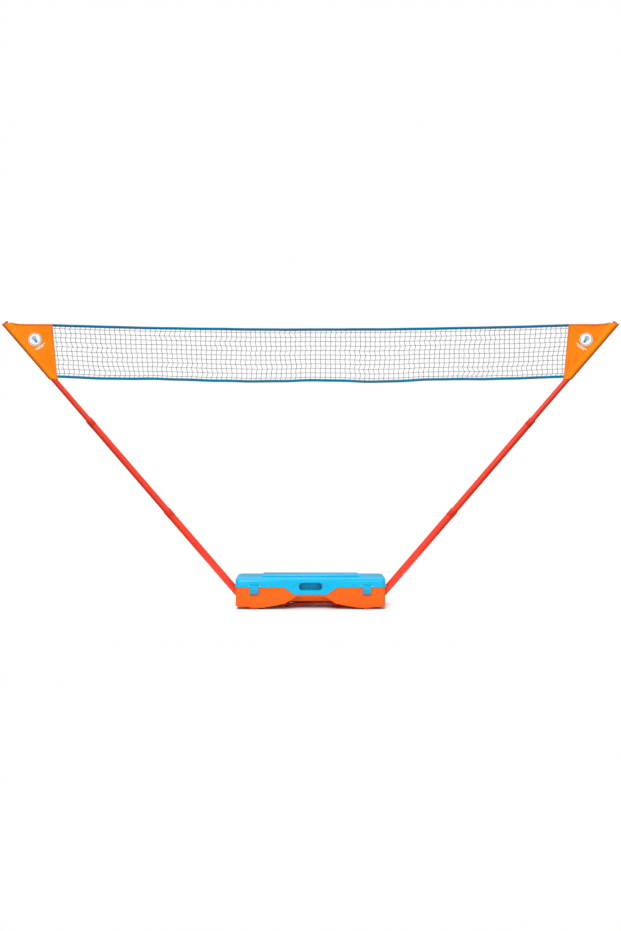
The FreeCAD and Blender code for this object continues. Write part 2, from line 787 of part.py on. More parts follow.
def stabiliser_leg(name, end):
    """A swing-out leg: a bar that rises from its pivot, with a foot at its far end."""
    body = new_body(f"{name}_stabiliser_leg")
    side = new_sketch(body, "XZ_Plane", "-dims.leg_width / 2")
    reach = "(dims.leg_pivot_x + dims.leg_end)"
    tip = "(dims.leg_pivot_x + dims.leg_foot_end)"
    polygon(
        side,
        (
            ("-dims.leg_width / 2", "dims.leg_under"),
            ("dims.leg_width / 2", "dims.leg_under"),
            (reach, "dims.leg_under + dims.leg_rise"),
            (reach, "3"),
            (tip, "3"),
            (tip, "dims.leg_under + dims.leg_thick"),
            (f"{reach} + 8", "dims.leg_under + dims.leg_rise + dims.leg_thick"),
            (reach, "dims.leg_under + dims.leg_rise + dims.leg_thick"),
            ("dims.leg_width / 2", "dims.leg_under + dims.leg_thick"),
            ("-dims.leg_width / 2", "dims.leg_under + dims.leg_thick"),
        ),
    )
    pad(body, side, "dims.leg_width")
    rounded(
        body,
        "dims.leg_width / 2 - 0.5",
        lambda middle, along: upright(along) and middle.x < 0,
    )
    rounded(body, "14", lambda middle, along: upright(along) and middle.x > size_of(tip) - 1)
    hole = new_sketch(body, "XY_Plane", "40")
    round_hole(hole, "0", "0", "dims.leg_pin + dims.running_gap")
    pocket(body, hole, "40")
    angle = 0 if end > 0 else 180
    pivot = Vector(-end * size_of("dims.leg_pivot_x"), -end * size_of("dims.leg_pivot_y"), 0)
    body.Placement = Placement(pivot, Rotation(Vector(0, 0, 1), angle))

    foot = new_body(f"{name}_leg_foot")
    outline = new_sketch(foot, "XY_Plane", "0")
    rectangle(outline, f"{reach} + 3", "-dims.leg_width / 2 + 2", f"{tip} - 3", "dims.leg_width / 2 - 2")
    pad(foot, outline, "3")
    rounded(foot, "11", lambda middle, along: upright(along) and middle.x > size_of(tip) - 4)
    foot.Placement = body.Placement

    pin = new_body(f"{name}_leg_pin")
    revolved(
        pin,
        (
            ("0", "dims.leg_under - 3.2"),
            ("dims.leg_head", "dims.leg_under - 3.2"),
            ("dims.leg_head", "dims.leg_under - 0.4"),
            ("dims.leg_pin", "dims.leg_under - 0.4"),
            ("dims.leg_pin", FLOOR_TOP),
            ("0", FLOOR_TOP),
        ),
    )
    pin.Placement = body.Placement


# ---------------------------------------------------------------- the poles


def tube(label, side, radius, bottom, top):
    """One drawn tube of a telescopic pole."""
    body = new_body(label)
    inner = f"({radius} - dims.tube_wall)"
    revolved(body, ((inner, bottom), (radius, bottom), (radius, top), (inner, top)))
    body.Placement = pole_placement(side)


def collar(label, side, outer_tube, inner_tube, top):
    """A moulded collar: it grips the end of the outer tube and its lip guides the inner one."""
    body = new_body(label)
    outside = f"({outer_tube} + dims.collar_wall)"
    guide = f"({inner_tube} + dims.slide_gap)"
    revolved(
        body,
        (
            (outer_tube, f"{top} - dims.collar_length"),
            (outside, f"{top} - dims.collar_length"),
            (outside, f"{top} + dims.collar_lip"),
            (guide, f"{top} + dims.collar_lip"),
            (guide, top),
            (outer_tube, top),
        ),
    )
    body.Placement = pole_placement(side)


def guide_bush(label, side, outer_tube, inner_tube, bottom):
    """A bush pressed in the bottom of a sliding tube, which runs in the tube around it."""
    body = new_body(label)
    running = f"({outer_tube} - dims.tube_wall - dims.slide_gap)"
    bore = f"({inner_tube} - dims.tube_wall)"
    revolved(
        body,
        (
            ("0", f"{bottom} - dims.bush_head"),
            (running, f"{bottom} - dims.bush_head"),
            (running, bottom),
            (bore, bottom),
            (bore, f"{bottom} + dims.bush_spigot"),
            ("0", f"{bottom} + dims.bush_spigot"),
        ),
    )
    body.Placement = pole_placement(side)


def pole(name, side):
    """The three tubes of one pole with their collars, bushes, end plug and tip cap."""
    lower = "dims.lower_radius"
    middle = "dims.middle_radius"
    upper = "dims.upper_radius"
    middle_bottom = "(dims.lower_top - dims.tube_overlap)"
    upper_bottom = "(dims.middle_top - dims.tube_overlap)"
    tube(f"{name}_lower_tube", side, lower, "dims.lower_bottom", "dims.lower_top")
    tube(f"{name}_middle_tube", side, middle, middle_bottom, "dims.middle_top")
    tube(f"{name}_upper_tube", side, upper, upper_bottom, TIP)
    collar(f"{name}_lower_collar", side, lower, middle, "dims.lower_top")
    collar(f"{name}_middle_collar", side, middle, upper, "dims.middle_top")
    guide_bush(f"{name}_middle_bush", side, lower, middle, middle_bottom)
    guide_bush(f"{name}_upper_bush", side, middle, upper, upper_bottom)
    plug = new_body(f"{name}_end_plug")
    bore = f"({lower} - dims.tube_wall)"
    revolved(
        plug,
        (
            ("0", "dims.lower_bottom - dims.plug_head"),
            (lower, "dims.lower_bottom - dims.plug_head"),
            (lower, "dims.lower_bottom"),
            (bore, "dims.lower_bottom"),
            (bore, "dims.lower_bottom + dims.plug_spigot"),
            ("0", "dims.lower_bottom + dims.plug_spigot"),
        ),
    )
    plug.Placement = pole_placement(side)
    cap = new_body(f"{name}_tip_cap")
    bore = f"({upper} - dims.tube_wall)"
    revolved(
        cap,
        (
            ("0", f"{TIP} - dims.cap_spigot"),
            (bore, f"{TIP} - dims.cap_spigot"),
            (bore, TIP),
            (f"{upper} + dims.cap_over", TIP),
            (f"{upper} + dims.cap_over", f"{TIP} + dims.cap_head"),
            ("0", f"{TIP} + dims.cap_head"),
        ),
    )
    cap.Placement = pole_placement(side)


RUN = "(dims.pole_tip_x - dims.pole_start)"
RISE = "(dims.pole_tip_height - dims.pole_start_height)"
POLE_LENGTH = f"sqrt({RUN} * {RUN} + {RISE} * {RISE})"
TIP = f"({POLE_LENGTH} - 9)"


# ---------------------------------------------------------------- the net


def corner_panel(name, side):
    """A fabric corner: a flat four-sided panel sewn to the sleeve that slips over the pole's tip."""
    half = size_of("dims.panel_thick") / 2
    place = pole_placement(side)
    tip_length = size_of(TIP)
    bottom = size_of("dims.sleeve_bottom")
    radius = size_of("dims.upper_radius + dims.slide_gap")
    outside = radius + size_of("dims.sleeve_wall")
    low_on_pole = place.multVec(Vector(0, 0, bottom))
    high_on_pole = place.multVec(Vector(0, 0, tip_length))
    corners = (
        (high_on_pole.x, high_on_pole.z),
        (side * size_of("dims.panel_top_in"), size_of("dims.tape_top")),
        (side * size_of("dims.panel_bottom_in"), size_of("dims.tape_bottom")),
        (low_on_pole.x, low_on_pole.z),
    )
    points = [Vector(x, half, z) for x, z in corners]
    outline = Part.makePolygon(points + points[:1])
    plate = Part.Face(outline).extrude(Vector(0, -2 * half, 0))
    sleeve = Part.makeCylinder(outside, tip_length - bottom, Vector(0, 0, bottom))
    hole = Part.makeCylinder(radius, tip_length - bottom + 60, Vector(0, 0, bottom - 30))
    sleeve.Placement = place
    hole.Placement = place
    panel = doc.addObject("Part::Feature", f"{name}_corner_panel")
    panel.Shape = plate.fuse(sleeve).cut(hole).removeSplitter()
    finished(panel, f"{name}_corner_panel")


SEAM_SLOPE = "((dims.panel_top_in - dims.panel_bottom_in) / (dims.tape_top - dims.tape_bottom))"
SAG_RADIUS = "((dims.panel_top_in * dims.panel_top_in + dims.net_sag * dims.net_sag) / (2 * dims.net_sag))"


def hanging_band(label, side, upper, lower, thick):
    """Half of a band across the net, from the middle to the corner panel's slanted seam.

    Its long edges are arcs that sag alike; upper and lower are how far they lie below the top of the net.
    """
    body = new_body(label)
    outline = new_sketch(body, "XZ_Plane", f"-{thick} / 2")
    middle = []
    seam = []
    for drop in (lower, upper):
        seam_x = f"(dims.panel_top_in - dims.seam_gap - {SEAM_SLOPE} * ({drop}))"
        low_point = f"dims.tape_top - dims.net_sag - ({drop})"
        share = f"({seam_x} / dims.panel_top_in)"
        middle.append(("0", low_point))
        seam.append((f"{side} * {seam_x}", f"{low_point} + dims.net_sag * {share} * {share}"))
    corners = (middle[0], seam[0], seam[1], middle[1])
    below, above = {0: SAG_RADIUS}, {2: SAG_RADIUS}
    if side > 0:
        polygon(outline, corners, left_arcs=below, right_arcs=above)
    else:
        polygon(outline, corners, left_arcs=above, right_arcs=below)
    pad(body, outline, thick)


def net_half(name, side):
    """One half of the net with its two tapes."""
    width = "dims.tape_width"
    height = "(dims.tape_top - dims.tape_bottom)"
    hanging_band(f"{name}_top_tape", side, "0", width, "dims.tape_thick")
    hanging_band(f"{name}_net", side, width, f"{height} - {width}", "dims.net_thick")
    hanging_band(f"{name}_bottom_tape", side, f"{height} - {width}", height, "dims.tape_thick")


base_tray()
foot_pads()
for name, side in SIDES:
    pole_socket(name, side)
lid()
for name, side in SIDES:
    latch(name, side)
    pin_along_x(
        f"{name}_latch_pin",
        f"{side} * dims.latch_at - dims.latch_width / 2 - 6",
        "dims.latch_width + 12",
        "-dims.latch_pivot_depth",
        "dims.latch_pivot_height",
        "dims.latch_pin",
    )
    pin_along_x(
        f"{name}_hinge_pin",
        f"{side} * dims.hinge_at - dims.hinge_lid_knuckle / 2 - dims.knuckle_gap - dims.hinge_tray_knuckle",
        "dims.hinge_lid_knuckle + 2 * dims.knuckle_gap + 2 * dims.hinge_tray_knuckle",
        "dims.hinge_axis_depth",
        "dims.hinge_axis_height",
        "dims.hinge_pin",
    )
for name, end in ENDS:
    stabiliser_leg(name, end)
for name, side in SIDES:
    pole(name, side)
    corner_panel(name, side)
    net_half(name, side)

doc.recompute()
faults = [thing.Label for thing in doc.Objects if {"Invalid", "Error"} & set(thing.State)]
faults += [part.Label for part in SUB_PARTS if part.Shape.isNull() or not part.Shape.isValid()]
if faults:
    raise RuntimeError(f"these did not build: {faults}")

os.makedirs("parts", exist_ok=True)
for part in SUB_PARTS:
    part.Shape.exportStep(f"parts/{part.Label}.step")
print(f"{len(SUB_PARTS)} sub-parts")
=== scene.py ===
"""Portable badminton net: the look of the case, the poles and the net, around the packed CAD frame."""

import json
import logging
import math
import random
from collections.abc import Iterable, Sequence
from dataclasses import dataclass, field
from enum import Enum
from typing import Any

import bmesh
import bpy
from mathutils import Matrix, Vector, noise


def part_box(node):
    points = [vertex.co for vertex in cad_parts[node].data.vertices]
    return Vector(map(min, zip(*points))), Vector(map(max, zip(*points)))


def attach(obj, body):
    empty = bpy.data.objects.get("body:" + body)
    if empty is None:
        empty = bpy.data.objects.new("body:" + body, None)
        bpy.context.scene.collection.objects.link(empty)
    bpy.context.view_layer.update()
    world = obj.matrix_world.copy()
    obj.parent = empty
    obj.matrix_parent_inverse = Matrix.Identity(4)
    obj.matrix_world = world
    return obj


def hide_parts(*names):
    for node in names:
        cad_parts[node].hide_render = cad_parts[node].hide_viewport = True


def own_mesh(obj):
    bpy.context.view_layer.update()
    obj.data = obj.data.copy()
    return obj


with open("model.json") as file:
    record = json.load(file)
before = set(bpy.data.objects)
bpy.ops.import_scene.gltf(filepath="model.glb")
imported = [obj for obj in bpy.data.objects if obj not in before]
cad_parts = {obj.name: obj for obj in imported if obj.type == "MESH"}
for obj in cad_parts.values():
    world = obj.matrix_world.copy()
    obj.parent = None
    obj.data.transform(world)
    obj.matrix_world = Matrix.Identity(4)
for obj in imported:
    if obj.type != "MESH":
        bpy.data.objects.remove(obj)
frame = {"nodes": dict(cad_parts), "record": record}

logging.basicConfig(level=logging.INFO, format="%(message)s")
log = logging.getLogger("badminton_net")

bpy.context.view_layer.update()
MM = 0.001
SEED = 11
FULL_TURN = 2 * math.pi
FINE = 0.00001
WHITE = (1.0, 1.0, 1.0)


class Side(Enum):
    """The two halves of the net, with the sign of their X."""

    LEFT = -1
    RIGHT = 1

    @property
    def word(self) -> str:
        """The side's name as the CAD nodes spell it."""
        return self.name.lower()


# ------------------------------------------------------------------------------------------ shader language


class Field:
    """A number that varies over a surface, written in ordinary arithmetic."""

    def __init__(self, shader: "NodeTree", socket: Any) -> None:
        """Wraps an output socket.

        Args:
            shader: The tree that the socket's node is in.
            socket: The output.
        """
        self.shader = shader
        self.socket = socket

    def _math(self, operation: str, *others: "Field | float", first: bool = True) -> "Field":
        """Adds a Math node for one operation.

        Args:
            operation: Blender's name of the operation.
            others: The other operands.
            first: Whether this field is the first operand.

        Returns:
            The field that the node gives.
        """
        operands = [self, *others] if first else [*others, self]
        return self.shader.add("ShaderNodeMath", {"operation": operation}, *operands)

    def __add__(self, other: "Field | float") -> "Field":
        """The sum."""
        return self._math("ADD", other)

    __radd__ = __add__

    def __sub__(self, other: "Field | float") -> "Field":
        """The difference."""
        return self._math("SUBTRACT", other)

    def __rsub__(self, other: "Field | float") -> "Field":
        """The difference with this field second."""
        return self._math("SUBTRACT", other, first=False)

    def __mul__(self, other: "Field | float") -> "Field":
        """The product."""
        return self._math("MULTIPLY", other)

    __rmul__ = __mul__

    def __truediv__(self, other: "Field | float") -> "Field":
        """The quotient."""
        return self._math("DIVIDE", other)

    def sine(self) -> "Field":
        """The sine, in radians."""
        return self._math("SINE")

    def cycle(self) -> "Field":
        """The part after the decimal point."""
        return self._math("FRACT")

    def size(self) -> "Field":
        """The absolute value."""
        return self._math("ABSOLUTE")

    def above(self, other: "Field | float") -> "Field":
        """1 where this is greater, else 0."""
        return self._math("GREATER_THAN", other)

    def most(self, other: "Field | float") -> "Field":
        """The larger of the two."""
        return self._math("MAXIMUM", other)

    def power(self, other: "Field | float") -> "Field":
        """This raised to a power."""
        return self._math("POWER", other)

    def ramp(self, low: float, high: float) -> "Field":
        """Rises smoothly from 0 at low to 1 at high.

        Args:
            low: Where the rise begins.
            high: Where it ends.

        Returns:
            The share between 0 and 1.
        """
        settings = {"interpolation_type": "SMOOTHSTEP"}
        return self.shader.add("ShaderNodeMapRange", settings, self, low, high, 0.0, 1.0)


class NodeTree:
    """A node tree under construction."""

    def __init__(self, tree: bpy.types.NodeTree) -> None:
        """Empties a node tree.

        Args:
            tree: The tree of a material or of the world.
        """
        self.tree = tree
        self.tree.nodes.clear()

    def feed(self, socket: Any, value: Any) -> None:
        """Links or sets one input socket.

        Args:
            socket: The input.
            value: A Field, a socket, a colour, a vector or a number.
        """
        if isinstance(value, Field):
            self.tree.links.new(value.socket, socket)
        elif isinstance(value, bpy.types.NodeSocket):
            self.tree.links.new(value, socket)
        elif isinstance(value, tuple) and len(value) == 3 and len(socket.default_value) == 4:
            socket.default_value = (*value, 1.0)
        else:
            socket.default_value = value

    def node(self, kind: str, settings: dict[str, Any], *values: Any, **named: Any) -> bpy.types.Node:
        """Adds a node.

        Args:
            kind: The node's type.
            settings: Its properties, which are set first.
            values: The values or links of its first sockets, in order.
            named: The values or links of sockets by name, with underscores for spaces.

        Returns:
            The node.
        """
        node = self.tree.nodes.new(kind)
        for name, value in settings.items():
            setattr(node, name, value)
        for socket, value in zip(node.inputs, values):
            self.feed(socket, value)
        for name, value in named.items():
            self.feed(node.inputs[name.replace("_", " ")], value)
        return node

    def add(
        self, kind: str, settings: dict[str, Any], *values: Any, out: int | str = 0, **named: Any
    ) -> Field:
        """Adds a node and gives one of its outputs.

        Args:
            kind: The node's type.
            settings: Its properties.
            values: The values or links of its first sockets, in order.
            out: The output to give back.
            named: The values or links of sockets by name, with underscores for spaces.

        Returns:
            The node's output.
        """
        return Field(self, self.node(kind, settings, *values, **named).outputs[out])

    def axes(self, source: Any) -> tuple[Field, ...]:
        """Splits coordinates.

        Args:
            source: A vector's socket.

        Returns:
            Its three parts.
        """
        split = self.node("ShaderNodeSeparateXYZ", {}, source)
        return tuple(Field(self, socket) for socket in split.outputs)


class Shader(NodeTree):
    """A material under construction, with one Principled shader."""

    def __init__(self, name: str) -> None:
        """Starts a material.

        Args:
            name: The material's name.
        """
        self.material = bpy.data.materials.new(name)
        self.material.use_nodes = True
        super().__init__(self.material.node_tree)
        self.surface = self.node("ShaderNodeBsdfPrincipled", {})
        self.node("ShaderNodeOutputMaterial", {}, self.surface.outputs[0])
        self.place = self.node("ShaderNodeTexCoord", {}).outputs["Object"]

    def object_axes(self) -> tuple[Field, ...]:
        """The three object coordinates, in metres."""
        return self.axes(self.place)

    def uv(self) -> tuple[Field, ...]:
        """The piece's own UV map, in metres along the cloth."""
        return self.axes(self.node("ShaderNodeTexCoord", {}).outputs["UV"])

    def noise(self, scale: float, detail: float = 2.0, rough: float = 0.5) -> Field:
        """Smooth noise from 0 to 1.

        Args:
            scale: How many bumps there are in a metre.
            detail: Octaves.
            rough: How strong the small octaves are.

        Returns:
            The noise.
        """
        return self.add(
            "ShaderNodeTexNoise",
            {"noise_dimensions": "3D"},
            out="Fac",
            Vector=self.place,
            Scale=scale,
            Detail=detail,
            Roughness=rough,
        )

    def blend(self, share: Field | float, low: Any, high: Any) -> Field:
        """Mixes two colours.

        Args:
            share: How much of the second.
            low: The first colour.
            high: The second colour.

        Returns:
            The mixed colour.
        """
        node = self.node("ShaderNodeMix", {"data_type": "RGBA"}, share)
        first, second = (socket for socket in node.inputs if socket.type == "RGBA")
        self.feed(first, low)
        self.feed(second, high)
        return Field(self, next(socket for socket in node.outputs if socket.type == "RGBA"))

    def bump(self, height: Field, depth: float, under: Field | None = None) -> Field:
        """Turns a height into a normal.

        Args:
            height: The height, about 0 to 1.
            depth: What 1 is worth, in metres.
            under: A coarser bump below this one.

        Returns:
            The normal.
        """
        named = {"Height": height, "Distance": depth, "Strength": 1.0}
        if under is not None:
            named["Normal"] = under
        return self.add("ShaderNodeBump", {}, **named)

    def finish(self, **named: Any) -> bpy.types.Material:
        """Feeds the Principled shader.

        Args:
            named: The values or links of its sockets, with underscores for spaces.

        Returns:
            The material.
        """
        for name, value in named.items():
            self.feed(self.surface.inputs[name.replace("_", " ")], value)
        return self.material


# ------------------------------------------------------------------------------------------ finishes

Colour = tuple[float, float, float]


@dataclass(frozen=True)
class MouldedPlastic:
    """Injection-moulded plastic with a fine spark-eroded grain, slight flow marks and scuffed spots."""

    name: str
    colour: Colour
    shade: Colour
    gloss: float
    grain: float = 0.03 * MM
    grain_scale: float = 2600.0
    flow_scale: float = 6.0
    scuff_scale: float = 90.0
    scuff_share: float = 0.10
    sink_scale: float = 28.0
    sink: float = 0.12 * MM
    specular: float = 0.22

    def make(self) -> bpy.types.Material:
        """Builds the material."""
        shader = Shader(self.name)
        flow = shader.noise(self.flow_scale, 3.0)
        scuffs = shader.noise(self.scuff_scale, 5.0, 0.7).ramp(0.62, 0.80)
        fine = shader.noise(self.grain_scale, 2.0, 0.6)
        soft = shader.noise(self.sink_scale, 2.0)
        tone = shader.blend(flow.ramp(0.3, 0.7), self.colour, self.shade)
        chalky = tuple(min(1.0, c * 0.8 + 0.12) for c in self.colour)
        rough = 1.0 - self.gloss + (flow - 0.5) * 0.08 + scuffs * 0.12 + (fine - 0.5) * 0.06
        return shader.finish(
            Base_Color=shader.blend(scuffs * self.scuff_share, tone, chalky),
            Roughness=rough,
            Normal=shader.bump(fine, self.grain, shader.bump(soft, self.sink)),
            IOR=1.46,
            Specular_IOR_Level=self.specular,
        )


@dataclass(frozen=True)
class PowderCoat:
    """Powder-coated steel tube: orange-peel skin, a cloudy tone and scattered worn specks."""

    name: str
    colour: Colour
    shade: Colour
    peel_scale: float = 900.0
    peel: float = 0.06 * MM
    cloud_scale: float = 14.0
    speck_scale: float = 420.0
    specular: float = 0.3

    def make(self) -> bpy.types.Material:
        """Builds the material."""
        shader = Shader(self.name)
        peel = shader.noise(self.peel_scale, 2.0)
        wide = shader.noise(self.cloud_scale, 3.0)
        speck = shader.noise(self.speck_scale, 3.0, 0.7).ramp(0.70, 0.78)
        tone = shader.blend(wide.ramp(0.3, 0.75), self.colour, self.shade)
        rough = 0.36 + (wide - 0.5) * 0.1 + speck * 0.15
        return shader.finish(
            Base_Color=shader.blend(speck * 0.25, tone, tuple(c * 0.6 for c in self.shade)),
            Roughness=rough,
            Normal=shader.bump(peel, self.peel),
            Coat_Weight=0.08,
            Coat_Roughness=0.2,
            IOR=1.5,
            Specular_IOR_Level=self.specular,
        )


@dataclass(frozen=True)
class Steel:
    """Drawn steel pin with fine turning lines."""

    name: str
    bright: Colour = (0.52, 0.52, 0.54)
    dull: Colour = (0.36, 0.35, 0.35)
    line_rate: float = 9000.0
    line_depth: float = 0.01 * MM
    stain_scale: float = 300.0

    def make(self) -> bpy.types.Material:
        """Builds the material."""
        shader = Shader(self.name)
        across, _, _ = shader.object_axes()
        lines = (across * self.line_rate).sine() * 0.5 + 0.5
        stain = shader.noise(self.stain_scale, 3.0)
        return shader.finish(
            Base_Color=shader.blend(stain.ramp(0.4, 0.8), self.bright, self.dull),
            Metallic=1.0,
            Roughness=0.28 + stain * 0.2,
            Normal=shader.bump(lines, self.line_depth),
        )


@dataclass(frozen=True)
class Rubber:
    """Matt moulded rubber with dust in its pores."""

    name: str
    colour: Colour
    dust: Colour = (0.5, 0.42, 0.38)
    dust_scale: float = 140.0
    pore_scale: float = 1800.0
    pore_depth: float = 0.08 * MM

    def make(self) -> bpy.types.Material:
        """Builds the material."""
        shader = Shader(self.name)
        dust = shader.noise(self.dust_scale, 4.0, 0.65).ramp(0.55, 0.8)
        pores = shader.noise(self.pore_scale, 2.0)
        return shader.finish(
            Base_Color=shader.blend(dust * 0.25, self.colour, self.dust),
            Roughness=0.78 + dust * 0.15,
            Normal=shader.bump(pores, self.pore_depth),
        )


@dataclass(frozen=True)
class Badge:
    """A plain printed badge: a white disc with a ring, a drawn shuttlecock and two bars below it."""

    across: float = 1.352
    up: float = 1.309
    radius: float = 0.032
    tilt: float = -0.6
    paper: Colour = (0.86, 0.88, 0.9)
    ink: Colour = (0.01, 0.24, 0.42)

    def over(self, shader: Shader, under: Field, along: Field, up: Field) -> Field:
        """Prints the badge over a colour.

        Args:
            shader: The material's shader.
            under: The cloth's colour.
            along: The distance from the middle of the net.
            up: The height above the floor.

        Returns:
            The printed colour.
        """
        across, rise = along - self.across, up - self.up
        turn, lean = math.cos(self.tilt), math.sin(self.tilt)
        left = (across * turn + rise * lean) / self.radius
        high = (rise * turn - across * lean) / self.radius
        reach = (left * left + high * high).power(0.5)
        disc = 1.0 - reach.ramp(0.99, 1.01)
        ring = reach.ramp(0.84, 0.86) * (1.0 - reach.ramp(0.93, 0.95))
        cork = 1.0 - ((left * left) + (high + 0.42) * (high + 0.42)).power(0.5).ramp(0.17, 0.19)
        flare = (high + 0.30) * 0.42 + 0.13
        skirt = (high + 0.24).above(0.0) * (0.55 - left.size() * 0.3 - high).above(0.0)
        skirt = skirt * (flare - left.size()).above(0.0)
        quills = ((left / flare) * 2.5 + 0.5).cycle()
        gaps = quills.above(0.30) * (1.0 - quills.above(0.70)) * (high + 0.06).above(0.0)
        bands = (high - 0.12).size().ramp(0.02, 0.04) * (high + 0.08).size().ramp(0.02, 0.04)
        drawing = ring.most(cork).most(skirt * (1.0 - gaps * bands))
        bars = self.bar(left, high, -1.30, 0.95).most(self.bar(left, high, -1.52, 0.6))
        printed = shader.blend(disc.most(bars), under, self.paper)
        return shader.blend(drawing * disc, printed, self.ink)

    def bar(self, left: Field, high: Field, place: float, half: float) -> Field:
        """A level bar under the disc.

        Args:
            left: Across the badge, in radii.
            high: Up the badge, in radii.
            place: The bar's height, in radii.
            half: Its half length, in radii.

        Returns:
            1 inside the bar.
        """
        return (0.055 - (high - place).size()).above(0.0) * (half - left.size()).above(0.0)


@dataclass(frozen=True)
class WovenCloth:
    """Plain-weave cloth on a UV map in metres: warp and weft threads, slubs and painted shade between the
    threads, with a badge or without.
    """

    name: str
    colour: Colour
    shade: Colour
    pitch: float = 1.1 * MM
    depth: float = 0.05 * MM
    rough: float = 0.8
    specular: float = 0.15
    slub_scale: float = 160.0
    cloud_scale: float = 9.0
    badge: Badge | None = None

    def make(self) -> bpy.types.Material:
        """Builds the material."""
        shader = Shader(self.name)
        along, up, _ = shader.uv()
        turns = FULL_TURN / self.pitch
        warp = (along * turns).sine().size()
        weft = (up * turns).sine().size()
        over = ((along * (turns / 2)).sine() * (up * (turns / 2)).sine()).above(0.0)
        threads = warp * over + weft * (1.0 - over)
        slub = shader.noise(self.slub_scale, 3.0)
        cloudy = shader.noise(self.cloud_scale, 3.0)
        tone = shader.blend(cloudy.ramp(0.3, 0.75), self.colour, self.shade)
        # Painted shade: the gaps between the threads are darkened toward a dark copy of the shade colour, and
        # the slub noise adds random darker tone.
        gaps = tuple(c * 0.55 for c in self.shade)
        weave_with_gap_shade = shader.blend((1.0 - threads) * 0.12 + slub * 0.06, tone, gaps)
        soft = shader.bump(slub, self.depth * 0.6)
        if self.badge is not None:
            weave_with_gap_shade = self.badge.over(shader, weave_with_gap_shade, along.size(), up)
        return shader.finish(
            Base_Color=weave_with_gap_shade,
            Roughness=self.rough + (slub - 0.5) * 0.1,
            Normal=shader.bump(threads, self.depth, soft),
            Specular_IOR_Level=self.specular,
        )


@dataclass(frozen=True)
class Webbing:
    """Ribbed edge tape on a UV map in metres: close ribs across the tape with painted shade in the grooves
    between them, and a slanting twill.
    """

    name: str
    colour: Colour
    shade: Colour
    rib: float = 1.1 * MM
    rib_depth: float = 0.06 * MM
    patch_scale: float = 22.0
    specular: float = 0.05

    def make(self) -> bpy.types.Material:
        """Builds the material."""
        shader = Shader(self.name)
        along, up, _ = shader.uv()
        ribs = (along * (FULL_TURN / self.rib)).sine().size()
        twill = ((along + up) * (FULL_TURN / (self.rib * 3.0))).sine() * 0.5 + 0.5
        patch = shader.noise(self.patch_scale, 3.0)
        tone = shader.blend(patch.ramp(0.3, 0.7), self.colour, self.shade)
        # Painted shade: the grooves between the ribs are darkened toward a dark copy of the shade colour.
        groove_shade = tuple(c * 0.45 for c in self.shade)
        return shader.finish(
            Base_Color=shader.blend((1.0 - ribs) * 0.3, tone, groove_shade),
            Roughness=0.62 + twill * 0.12,
            Normal=shader.bump(ribs * 0.7 + twill * 0.3, self.rib_depth),
            Specular_IOR_Level=self.specular,
        )


@dataclass(frozen=True)
class Twine:
    """Twisted polyester twine."""

    name: str
    colour: Colour
    twist_rate: float = 4200.0
    twist_depth: float = 0.1 * MM
    fuzz_scale: float = 700.0

    def make(self) -> bpy.types.Material:
        """Builds the material."""
        shader = Shader(self.name)
        across, _, up = shader.object_axes()
        twist = ((across + up) * self.twist_rate).sine() * 0.5 + 0.5
        fuzz = shader.noise(self.fuzz_scale, 2.0)
        # A lighter copy of the colour, laid on the twist's ridges as a painted highlight, with the fuzz noise
        # adding random lighter flecks.
        lit = tuple(c * 2.2 + 0.01 for c in self.colour)
        return shader.finish(
            Base_Color=shader.blend(twist * 0.6 + fuzz * 0.3, self.colour, lit),
            Roughness=0.75 + fuzz * 0.15,
            Normal=shader.bump(twist, self.twist_depth),
        )


@dataclass(frozen=True)
class Palette:
    """Every finish on the object."""

    tray: MouldedPlastic = MouldedPlastic("tray_plastic", (0.72, 0.102, 0.001), (0.70, 0.094, 0.001), 0.52)
    lid: MouldedPlastic = MouldedPlastic("lid_plastic", (0.0, 0.375, 0.63), (0.0, 0.355, 0.60), 0.68)
    latch: MouldedPlastic = MouldedPlastic("latch_plastic", (0.001, 0.35, 0.59), (0.001, 0.33, 0.56), 0.66)
    # The grip's grey-blue is a darker copy of the latch's blue: painted shade of the latch's lower tab.
    grip: MouldedPlastic = MouldedPlastic("grip_plastic", (0.035, 0.25, 0.38), (0.03, 0.23, 0.35), 0.6)
    leg: MouldedPlastic = MouldedPlastic("leg_plastic", (0.5, 0.022, 0.001), (0.46, 0.02, 0.001), 0.5)
    collar: MouldedPlastic = MouldedPlastic("collar_plastic", (0.68, 0.03, 0.008), (0.62, 0.027, 0.007), 0.55)
    bush: MouldedPlastic = MouldedPlastic("bush_plastic", (0.02, 0.02, 0.022), (0.015, 0.015, 0.016), 0.5)
    cap: MouldedPlastic = MouldedPlastic("cap_plastic", (0.42, 0.05, 0.01), (0.38, 0.045, 0.01), 0.5)
    pole: PowderCoat = PowderCoat("pole_paint", (0.78, 0.034, 0.009), (0.72, 0.03, 0.008))
    pin: Steel = Steel("pin_steel")
    pad: Rubber = Rubber("pad_rubber", (0.42, 0.02, 0.005))
    corner: WovenCloth = WovenCloth("corner_fabric", (0.96, 0.25, 0.003), (0.92, 0.215, 0.002), badge=Badge())
    hem: WovenCloth = WovenCloth("hem_fabric", (0.84, 0.19, 0.003), (0.78, 0.16, 0.002))
    # A darker red cloth for the strip along the sleeve's edge: painted shade of the sleeve's rounded side.
    piping: WovenCloth = WovenCloth("piping_fabric", (0.72, 0.045, 0.006), (0.66, 0.038, 0.005))
    tape: Webbing = Webbing("tape_fabric", (0.004, 0.19, 0.35), (0.003, 0.17, 0.31))
    twine: Twine = Twine("net_twine", (0.012, 0.012, 0.015))
    stitch: Twine = Twine("stitch_thread", (0.02, 0.22, 0.36))
    orange_stitch: Twine = Twine("orange_stitch_thread", (0.8, 0.2, 0.02))


FINISHES = {name: finish.make() for name, finish in vars(Palette()).items()}


# ------------------------------------------------------------------------------------------ mesh helpers


